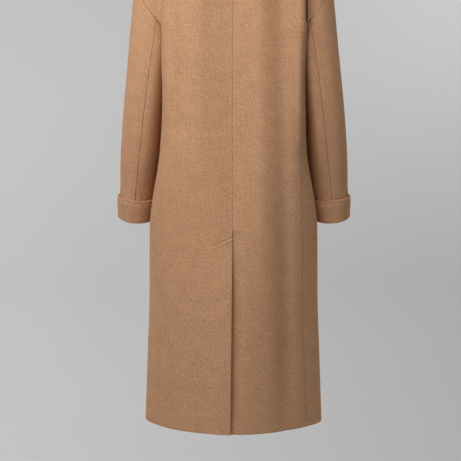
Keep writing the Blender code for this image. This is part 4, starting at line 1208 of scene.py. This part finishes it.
def collar_piece():
    """The collar: both halves' stations in one grid, respaced so that its edges can round over."""
    turns = np.linspace(0.0, 180.0, COLLAR_STATIONS)
    left, stand = collar_half(1, turns)
    right = collar_half(-1, turns)[0] * MIRROR
    grid = np.concatenate([left[::-1], right[1:]])
    grid[0, :stand, 0], grid[-1, :stand, 0] = SEAM_GAP, -SEAM_GAP
    grid = even_columns(grid, COLLAR_COUNT)
    upright = even_columns(grid.swapaxes(0, 1), COLLAR_ROWS)
    grid = upright.swapaxes(0, 1)
    cloth = Cloth()
    run = running(upright).swapaxes(0, 1)
    cloth.add(grid, np.stack([run - run[len(run) // 2], running(grid)], -1))
    points, quads, flat = cloth.whole()
    outward = np.zeros_like(grid)
    outward[len(grid) // 2, :20, 1] = 1.0
    cloth_piece("collar", points, quads, flat, outward.reshape(-1, 3), 1, COLLAR_CLOTH, 1.0)


# ---- buttons and buttonholes


def button_place(height):
    """Where a button sits on the left front: a point, and its across, up and out directions."""
    seat = straight_out(frame_form, 0.0, height, -1)[0]
    out = unit(gradient(frame_form, seat))
    across = unit(np.cross([0.0, 0.0, 1.0], out))
    return seat + out * SEAM_GAP, across, np.cross(out, across), out


def placed(local, height):
    """Points given as across, up and out of a button's seat, moved to it."""
    seat, across, up, out = button_place(height)
    return seat + local[..., :1] * across + local[..., 1:2] * up + local[..., 2:] * out


BUTTON_PROFILE = Table(("radius", "height"), (
    (0.00, 0.60), (0.55, 0.60), (0.66, 0.66), (0.76, 0.90),
    (0.86, 1.00), (0.94, 0.93), (0.985, 0.72), (1.0, 0.45),
))
BUTTON_BACK = ((1.0, 0.985, 0.93, 0.5, 0.004), (0.32, 0.14, 0.02, 0.0, 0.0))  # its radii and heights
BUTTON_POINTS = 96  # round each ring
HOLE_REACH = 0.0026  # from the button's middle to each hole's
HOLE_RADIUS = 0.0011
HOLE_DEPTH = 0.55  # share of the button's thickness
THREAD_RADIUS = 0.00030
TUBE_SIDES = 8


def ring_faces(rings, points):
    """Quads between rings of points, each of which closes on itself."""
    i, k = np.meshgrid(np.arange(rings - 1), np.arange(points), indexing="ij")
    ahead = (k + 1) % points
    low, high = i * points, (i + 1) * points
    return np.stack([low + k, low + ahead, high + ahead, high + k], -1).reshape(-1, 4)


def button_piece(number, height):
    """A dished horn button: a profile turned about its axis, with four holes pressed through it."""
    r, t = BUTTON_RADIUS, BUTTON_THICKNESS
    inside = np.linspace(0.004, 0.45, 34)
    reach = np.concatenate([inside, np.linspace(0.45, 1.0, 26)[1:]])
    turn = np.linspace(0, 2 * np.pi, BUTTON_POINTS + 1)[:-1]
    x, y = reach[:, None] * r * np.cos(turn), reach[:, None] * r * np.sin(turn)
    top = BUTTON_PROFILE.at(reach)[0][:, None] * t + 0 * x
    for angle in np.radians([45, 135, 225, 315]):
        away = np.hypot(x - HOLE_REACH * np.cos(angle), y - HOLE_REACH * np.sin(angle))
        top = top - HOLE_DEPTH * t * step(away, HOLE_RADIUS + 0.0003, HOLE_RADIUS - 0.0002)
    front = np.stack([x, y, top], -1)
    low, under = np.array(BUTTON_BACK)
    x, y = low[:, None] * r * np.cos(turn), low[:, None] * r * np.sin(turn)
    back = np.stack([x, y, under[:, None] * t + 0 * x], -1)
    grid = placed(np.concatenate([front, back]), height)
    faces = ring_faces(len(grid), len(turn))
    points = grid.reshape(-1, 3)
    caps = np.arange(len(turn) // 2 - 1)
    first = np.stack([caps, caps + 1, len(turn) - 2 - caps, len(turn) - 1 - caps], -1)
    last = len(points) - len(turn) + first[:, ::-1]
    faces = np.concatenate([faces, first[:, ::-1], last[:, ::-1]])
    out = button_place(height)[3]
    if (point_normals(points, faces)[:len(turn) * 20] @ out).sum() < 0:
        faces = faces[:, ::-1]
    piece = new_mesh(f"button_{number}_horn", points, faces, cached("polished_horn", paint_horn))
    fit(piece, f"button_{number}")
    for name, sewn in ((f"button_{number}_thread", thread_cross(height)),
                       (f"buttonhole_{number}_stitches", buttonhole(height))):
        fit(new_mesh(name, *sewn, cached("buttonhole_thread", paint_thread)))


def tube(path, radius, closed=False):
    """A round tube of a radius, or one for each point, carried along a path that may be closed."""
    run = np.gradient(path, axis=0)
    if closed:
        run = np.roll(path, -1, 0) - np.roll(path, 1, 0)
    run = unit(run)
    side = unit(np.cross(run, [0.0, 0.0, 1.0]) + 1e-6 * np.array([1.0, 0.3, 0.0]))
    other = np.cross(run, side)
    turn = np.linspace(0, 2 * np.pi, TUBE_SIDES + 1)[:-1, None]
    size = np.broadcast_to(radius, len(path))[:, None, None]
    rings = path[:, None] + size * (side[:, None] * np.cos(turn) + other[:, None] * np.sin(turn))
    if closed:
        rings = np.concatenate([rings, rings[:1]])
    faces = ring_faces(len(rings), TUBE_SIDES)
    if closed:
        faces = faces % (len(path) * TUBE_SIDES)
        rings = rings[:-1]
    return rings.reshape(-1, 3), faces


def thread_cross(height):
    """Two crossed strands of thread that arch from hole to hole over the button's middle."""
    t = np.linspace(-1, 1, 25)
    strands = []
    for number, angle in enumerate(np.radians([45, 135, 48, 132])):
        side = 0.00028 * (1 if number > 1 else -1)
        arch = BUTTON_THICKNESS * 0.62 + 0.0004 + 0.0001 * number
        z = arch - 0.0022 * np.abs(t) ** 6
        x = HOLE_REACH * t * np.cos(angle) - side * np.sin(angle)
        y = HOLE_REACH * t * np.sin(angle) + side * np.cos(angle)
        size = THREAD_RADIUS * np.where(np.abs(t) > 0.999, 0.02, 1.0)
        strands.append(tube(np.stack([x, y, z], -1), size))
    points = np.concatenate([strand[0] for strand in strands])
    starts = np.cumsum([0] + [len(strand[0]) for strand in strands[:-1]])
    faces = np.concatenate([strand[1] + start for strand, start in zip(strands, starts)])
    return placed(points, height), faces


def buttonhole(height):
    """A worked buttonhole: a band of twisted thread round a slit, laid on the cloth."""
    t = np.linspace(0, 2 * np.pi, 241)[:-1]
    half_length, half_width = 0.0150, 0.0011
    x = -0.0045 - np.sign(np.cos(t)) * half_length * np.abs(np.cos(t)) ** 0.55
    y = half_width * np.sign(np.sin(t)) * np.abs(np.sin(t)) ** 0.35
    local = np.stack([-x, y, 0 * t], -1)
    path = placed(local, height)
    path = onto(frame_form, path, 3)
    path = path + unit(gradient(frame_form, path)) * 0.0002
    return tube(path, 0.00075 + 0.00016 * np.sin(t * 60), True)


# ---- materials


class Value:
    """A number in a material. Arithmetic on it adds Math nodes."""

    def __init__(self, paint, socket):
        self.paint, self.socket = paint, socket

    def sum(self, operation, a, b):
        return self.paint.value("ShaderNodeMath", {"operation": operation}, {0: a, 1: b})

    def __add__(self, other):
        return self.sum("ADD", self, other)

    def __radd__(self, other):
        return self.sum("ADD", other, self)

    def __sub__(self, other):
        return self.sum("SUBTRACT", self, other)

    def __rsub__(self, other):
        return self.sum("SUBTRACT", other, self)

    def __mul__(self, other):
        return self.sum("MULTIPLY", self, other)

    def __rmul__(self, other):
        return self.sum("MULTIPLY", other, self)

    def __truediv__(self, other):
        return self.sum("DIVIDE", self, other)

    def clipped(self):
        return self.paint.value("ShaderNodeClamp", {}, {"Value": self})


class Paint:
    """A material under construction."""

    def __init__(self, name):
        self.material = bpy.data.materials.new(name)
        self.material.use_nodes = True
        self.tree = self.material.node_tree
        self.surface = self.tree.nodes["Principled BSDF"]

    def put(self, socket, given):
        """Sets a socket to a number or colour, or links it to a value or a socket."""
        given = given.socket if isinstance(given, Value) else given
        if isinstance(given, bpy.types.NodeSocket):
            self.tree.links.new(given, socket)
        else:
            socket.default_value = given

    def node(self, kind, settings, sockets):
        """A node of that kind: its settings are set first, and then its sockets."""
        node = self.tree.nodes.new(kind)
        for key, setting in settings.items():
            setattr(node, key, setting)
        for key, given in sockets.items():
            self.put(node.inputs[key], given)
        return node

    def value(self, kind, settings, sockets, output=0):
        """One output of a new node as a number to calculate with."""
        return Value(self, self.node(kind, settings, sockets).outputs[output])

    def mix(self, share, first, second):
        """Two colours mixed by a share."""
        settings = {"data_type": "RGBA"}
        return self.node("ShaderNodeMix", settings, {0: share, 6: first, 7: second}).outputs[2]

    def bump(self, strength, distance, height):
        """A normal that follows a relief."""
        sockets = {"Strength": strength, "Distance": distance, "Height": height}
        return self.node("ShaderNodeBump", {}, sockets).outputs[0]

    def noise(self, coordinates, scale, detail, rough):
        """Clouds of a scale, with finer ones on them."""
        sockets = {"Vector": coordinates, "Scale": scale, "Detail": detail, "Roughness": rough}
        return self.value("ShaderNodeTexNoise", {}, sockets)

    def stretched(self, coordinates, angle, sizes):
        """Coordinates turned in their plane, in units of the given sizes along and across that way."""
        sockets = {"Vector": coordinates, "Rotation": (0, 0, np.radians(angle)), "Scale": sizes}
        return self.node("ShaderNodeMapping", {"vector_type": "TEXTURE"}, sockets).outputs[0]

    def finish(self, **sockets):
        """Puts what is given into the surface's sockets."""
        for key, given in sockets.items():
            self.put(self.surface.inputs[key.replace("_", " ")], given)
        return self.material


def colour(values, factor=1.0):
    """A socket's colour from a user's, made lighter or darker by a factor."""
    return (values[0] * factor, values[1] * factor, values[2] * factor, 1.0)


def cached(name, make):
    """The material of that name, painted when it is first asked for."""
    return bpy.data.materials.get(name) or make(name)


def wool():
    return cached("brushed_wool", paint_wool)


def paint_wool(name):
    """Brushed wool: a slanting nap and short fibres in colour and relief, soft mottling, and painted shade: a
    darker line painted where a sewn seam dips."""
    colours = bpy.context.scene.coat_colours
    paint = Paint(name)
    flat = paint.node("ShaderNodeUVMap", {"uv_map": "cloth"}, {}).outputs[0]
    nap = paint.noise(paint.stretched(flat, 46.0, (0.0040, 0.0017, 1.0)), 1.0, 1.0, 0.5)
    twill = paint.noise(paint.stretched(flat, 52.0, (0.0078, 0.0015, 1.0)), 1.0, 1.0, 0.5)
    grain = paint.noise(flat, 760.0, 2.0, 0.6)
    fibre = paint.noise(paint.stretched(flat, 38.0, (0.0022, 0.0005, 1.0)), 1.0, 2.0, 0.6)
    mottle = paint.noise(flat, 30.0, 2.0, 0.5)
    tone = 0.5 + 1.5 * (nap - 0.5) + 1.4 * (twill - 0.5) + 4.4 * (grain - 0.5)
    tone = (tone + 0.6 * (fibre - 0.5) + 0.4 * (mottle - 0.5)).clipped()
    base = paint.mix(tone, colour(colours.wool_shade), colour(colours.wool_light))
    # painted shade: near a sewn seam the wool is mixed towards a dark copy of its deep colour, standing in
    # for the shade in the seam's dip
    rim = paint.value("ShaderNodeAttribute", {"attribute_name": "rim"}, {}, 2)
    dip = (1 - rim / SEAM_PAINTED_SHADE).clipped()
    base = paint.mix(dip * 0.78, base, colour(colours.wool_shade, 0.45))
    relief = nap * 0.5 + grain * 0.7 + twill * 0.5 + fibre * 0.3
    bump = paint.bump(0.42, 0.0010, relief)
    rough = 0.86 + 0.10 * nap
    return paint.finish(
        Base_Color=base, Roughness=rough, Normal=bump, Specular_IOR_Level=0.20,
        Sheen_Weight=0.22, Sheen_Roughness=0.45, Sheen_Tint=colour(colours.wool_light, 1.4),
    )


def paint_thread(name):
    """Twisted thread: fine slanting strands on the wool's own colour, a little deeper."""
    colours = bpy.context.scene.coat_colours
    paint = Paint(name)
    where = paint.node("ShaderNodeTexCoord", {}, {}).outputs["Object"]
    strand = paint.noise(where, 2600.0, 1.0, 0.5)
    base = paint.mix(strand, colour(colours.thread, 0.75), colour(colours.thread, 1.2))
    bump = paint.bump(0.5, 0.0003, strand)
    return paint.finish(Base_Color=base, Roughness=0.55 + 0.15 * strand, Normal=bump)


def paint_horn(name):
    """Polished horn: long cloudy streaks from light to dark brown under a thin gloss."""
    colours = bpy.context.scene.coat_colours
    paint = Paint(name)
    where = paint.node("ShaderNodeTexCoord", {}, {}).outputs["Object"]
    streaks = paint.noise(paint.stretched(where, 20.0, (0.016, 0.016, 0.004)), 1.0, 4.0, 0.6)
    cloud = paint.noise(where, 110.0, 2.0, 0.5)
    share = ((streaks - 0.42) * 3.2 + (cloud - 0.5) * 0.6).clipped()
    base = paint.mix(share, colour(colours.horn, 0.45), colour(colours.horn, 1.7))
    scratch = paint.noise(where, 1500.0, 2.0, 0.6)
    bump = paint.bump(0.08, 0.0002, scratch)
    return paint.finish(Base_Color=base, Roughness=0.24 + 0.14 * scratch, Normal=bump, Coat_Weight=0.25)


def paint_plaster(name):
    """Smooth pale plaster with the faintest unevenness."""
    colours = bpy.context.scene.coat_colours
    paint = Paint(name)
    where = paint.node("ShaderNodeTexCoord", {}, {}).outputs["Object"]
    cloud = paint.noise(where, 1.6, 2.0, 0.5)
    base = paint.mix(cloud, colour(colours.plaster, 0.985), colour(colours.plaster, 1.015))
    return paint.finish(Base_Color=base, Roughness=0.9, Specular_IOR_Level=0.1)


# ---- the sizes and colours that a user would change


def length(label, about, default, low, high):
    """A size in metres that a user may change."""
    return FloatProperty(
        name=label, description=about, default=default, min=low, max=high, unit="LENGTH", precision=4
    )


def amount(label, about, default, low, high):
    """A number that a user may change."""
    return FloatProperty(name=label, description=about, default=default, min=low, max=high)


def shade(label, about, default):
    """A colour that a user may change."""
    return FloatVectorProperty(
        name=label, description=about, default=default, size=3, min=0.0, max=1.0, subtype="COLOR"
    )


class CoatColours(PropertyGroup):
    wool_light: shade("Wool, light", "Colour of the wool's raised nap", (0.740, 0.424, 0.242))
    wool_shade: shade("Wool, deep", "Colour of the wool between the fibres", (0.330, 0.165, 0.085))
    horn: shade("Horn", "Middle colour of the buttons", (0.150, 0.080, 0.042))
    thread: shade("Thread", "Colour of the buttonholes and button thread", (0.400, 0.230, 0.125))
    plaster: shade("Backdrop", "Colour of the floor and the wall", (0.562, 0.561, 0.564))


class StageSizes(PropertyGroup):
    floor: length("Floor", "Depth of the floor below the nape", 2.30, 1.3, 4.0)
    wall: length("Wall", "Distance from the coat's middle to the wall before it", 4.20, 0.8, 8.0)
    bend: length("Bend", "Radius where the floor turns up into the wall", 1.20, 0.1, 3.0)
    distance: length("Camera distance", "From the coat's middle to the camera", 2.33, 1.0, 9.0)
    eye: length("Camera drop", "Depth of the camera below the nape", 0.7634, 0.0, 3.0)
    lens: amount("Lens", "Focal length in millimetres", 75.81, 20, 200)
    light: amount("Lights", "Strength of the soft lights together", 1.0, 0, 9)
    sky: amount("Room light", "Strength of the even light", 0.30, 0, 5)


# ---- operators


class BackOperator(Operator):
    """Make the two back panels with the centre seam, the vent and its slanted stitch line"""

    bl_idname = "coat.backs"
    bl_label = "Backs"

    def execute(self, context):
        panel("back_left", back_cloth(1), 1)
        panel("back_right", back_cloth(-1), -1)
        return {"FINISHED"}


class FrontOperator(Operator):
    """Make the two fronts, of which the left lies over the right"""

    bl_idname = "coat.fronts"
    bl_label = "Fronts"

    def execute(self, context):
        panel("front_left", front_cloth(1), 1)
        panel("front_right", front_cloth(-1), -1)
        return {"FINISHED"}


class SleeveOperator(Operator):
    """Make the upper and under sleeves"""

    bl_idname = "coat.sleeves"
    bl_label = "Sleeves"

    def execute(self, context):
        for side, sign in (("left", 1), ("right", -1)):
            for part in ("upper", "under"):
                sleeve_piece(side, part, sign)
        return {"FINISHED"}


class CuffOperator(Operator):
    """Make the turned-up cuffs"""

    bl_idname = "coat.cuffs"
    bl_label = "Cuffs"

    def execute(self, context):
        cuff_piece("left", 1)
        cuff_piece("right", -1)
        return {"FINISHED"}


class CollarOperator(Operator):
    """Make the turned-down collar"""

    bl_idname = "coat.collar"
    bl_label = "Collar"

    def execute(self, context):
        collar_piece()
        return {"FINISHED"}


class ButtonOperator(Operator):
    """Make the horn buttons, their thread and the worked buttonholes"""

    bl_idname = "coat.buttons"
    bl_label = "Buttons"

    def execute(self, context):
        for number, height in enumerate(BUTTON_HEIGHTS, 1):
            button_piece(number, height)
        return {"FINISHED"}


SENSOR_WIDTH = 36.0  # millimetres
CAMERA_ACROSS = 0.0072
ROOM_COLOUR = (1.0, 0.98, 0.94, 1.0)


class StageOperator(Operator):
    """Make the floor, the wall, the lights and the camera"""

    bl_idname = "coat.stage"
    bl_label = "Stage"

    def execute(self, context):
        sizes = context.scene.coat_stage
        backdrop(sizes)
        soft_lights(sizes.light)
        world = bpy.data.worlds.new("room")
        world.use_nodes = True
        background = world.node_tree.nodes["Background"].inputs
        background["Color"].default_value = ROOM_COLOUR
        background["Strength"].default_value = sizes.sky
        context.scene.world = world
        context.scene.view_settings.view_transform = "Standard"
        lens = bpy.data.cameras.new("camera")
        lens.lens, lens.sensor_width = sizes.lens, SENSOR_WIDTH
        camera = bpy.data.objects.new("camera", lens)
        camera.location = (CAMERA_ACROSS, sizes.distance, -sizes.eye)
        camera.rotation_euler = (np.radians(90), 0.0, np.radians(180))
        context.scene.collection.objects.link(camera)
        context.scene.camera = camera
        return {"FINISHED"}


BACKDROP_HALF_WIDTH = 14.0
BACKDROP_FRONT = (12.0, 2.0)  # where the floor starts, and a row on it
BACKDROP_HEIGHTS = (1.5, 6.0)  # rows on the wall, up to its top


def backdrop(sizes):
    """Floor and wall in one sheet: a profile with a round bend, drawn straight across."""
    turn = np.radians(np.linspace(0, 90, 25))
    bend_y = -sizes.wall + sizes.bend - sizes.bend * np.sin(turn)
    bend_z = -sizes.floor + sizes.bend - sizes.bend * np.cos(turn)
    y = np.concatenate([BACKDROP_FRONT, bend_y, [-sizes.wall, -sizes.wall]])
    z = np.concatenate([[-sizes.floor, -sizes.floor], bend_z, BACKDROP_HEIGHTS])
    x = np.linspace(-BACKDROP_HALF_WIDTH, BACKDROP_HALF_WIDTH, 15)
    grid = np.stack(np.broadcast_arrays(x[None], y[:, None], z[:, None]), -1)
    cloth = Cloth()
    cloth.add(grid, grid[..., :2])
    points, quads, _ = cloth.whole()
    if point_normals(points, quads)[0, 2] < 0:
        quads = quads[:, ::-1]
    new_mesh("backdrop", points, quads, cached("plaster", paint_plaster))


# Soft square lights. Those on the coat stand on a sphere round its middle: turn goes from straight
# behind it towards the wearer's left. The others stand before the wall and light only that.
Light = namedtuple("Light", "name turn rise distance size power")
LIGHTS = (
    Light("key", 25, 50, 1.9, 0.9, 19.4),
    Light("low_key", 25, 25, 1.9, 0.9, 5.7),
    Light("side", 65, 25, 1.9, 0.9, 5.7),
    Light("fill", -40, 20, 4.0, 2.0, 6.0),
    Light("front_left", 145, 25, 3.4, 2.0, 12.0),
    Light("front_right", -145, 25, 3.4, 2.0, 12.0),
)
LIGHTS_AIM = Vector((0.0, 0.1, -0.6))
WallLight = namedtuple("WallLight", "name place aim size power")
WALL_LIGHTS = (
    WallLight("wall_upper_left", (1.9, -1.6, 1.3), (0.3, -4.2, -0.5), 1.6, 27.0),
    WallLight("wall_middle_left", (2.6, -2.0, 0.2), (0.9, -4.2, -0.4), 1.6, 10.0),
    WallLight("wall_lower_left", (2.4, -2.0, -1.3), (0.7, -4.2, -1.7), 1.6, 14.5),
    WallLight("wall_upper_right", (-2.2, -1.8, 1.6), (-0.8, -4.2, 0.3), 1.6, 50.0),
)


def soft_light(name, place, aim, size, power):
    """One soft square light, turned to what it lights. The camera doesn't see it."""
    lamp = bpy.data.lights.new(name, "AREA")
    lamp.shape, lamp.size, lamp.energy = "SQUARE", size, power
    light = bpy.data.objects.new(name, lamp)
    light.location = place
    light.visible_camera = False
    light.rotation_euler = (Vector(place) - Vector(aim)).to_track_quat("Z", "Y").to_euler()
    bpy.context.scene.collection.objects.link(light)


def soft_lights(strength):
    """The lights of both tables."""
    for light in LIGHTS:
        turn, rise = np.radians(light.turn), np.radians(light.rise)
        away = Vector((np.sin(turn) * np.cos(rise), np.cos(turn) * np.cos(rise), np.sin(rise)))
        place = LIGHTS_AIM + away * light.distance
        soft_light(light.name, place, LIGHTS_AIM, light.size, light.power * strength)
    for light in WALL_LIGHTS:
        soft_light(light.name, light.place, light.aim, light.size, light.power * strength)


OPERATORS = (
    BackOperator, FrontOperator, SleeveOperator, CuffOperator, CollarOperator, ButtonOperator, StageOperator,
)


class CoatPanel(Panel):
    bl_idname = "VIEW3D_PT_coat"
    bl_label = "Coat"
    bl_space_type = "VIEW_3D"
    bl_region_type = "UI"
    bl_category = "Coat"

    def draw(self, context):
        for group in (context.scene.coat_colours, context.scene.coat_stage):
            for name in group.__annotations__:
                self.layout.prop(group, name)
        for operator in OPERATORS:
            self.layout.operator(operator.bl_idname)


CLASSES = (CoatColours, StageSizes, *OPERATORS, CoatPanel)


def register():
    for kind in CLASSES:
        bpy.utils.register_class(kind)
    bpy.types.Scene.coat_colours = PointerProperty(type=CoatColours)
    bpy.types.Scene.coat_stage = PointerProperty(type=StageSizes)


def unregister():
    del bpy.types.Scene.coat_stage
    del bpy.types.Scene.coat_colours
    for kind in reversed(CLASSES):
        bpy.utils.unregister_class(kind)


def main():
    register()
    bpy.ops.coat.backs()
    bpy.ops.coat.fronts()
    bpy.ops.coat.sleeves()
    bpy.ops.coat.cuffs()
    bpy.ops.coat.collar()
    bpy.ops.coat.buttons()
    bpy.ops.coat.stage()


if __name__ == "__main__":
    main()
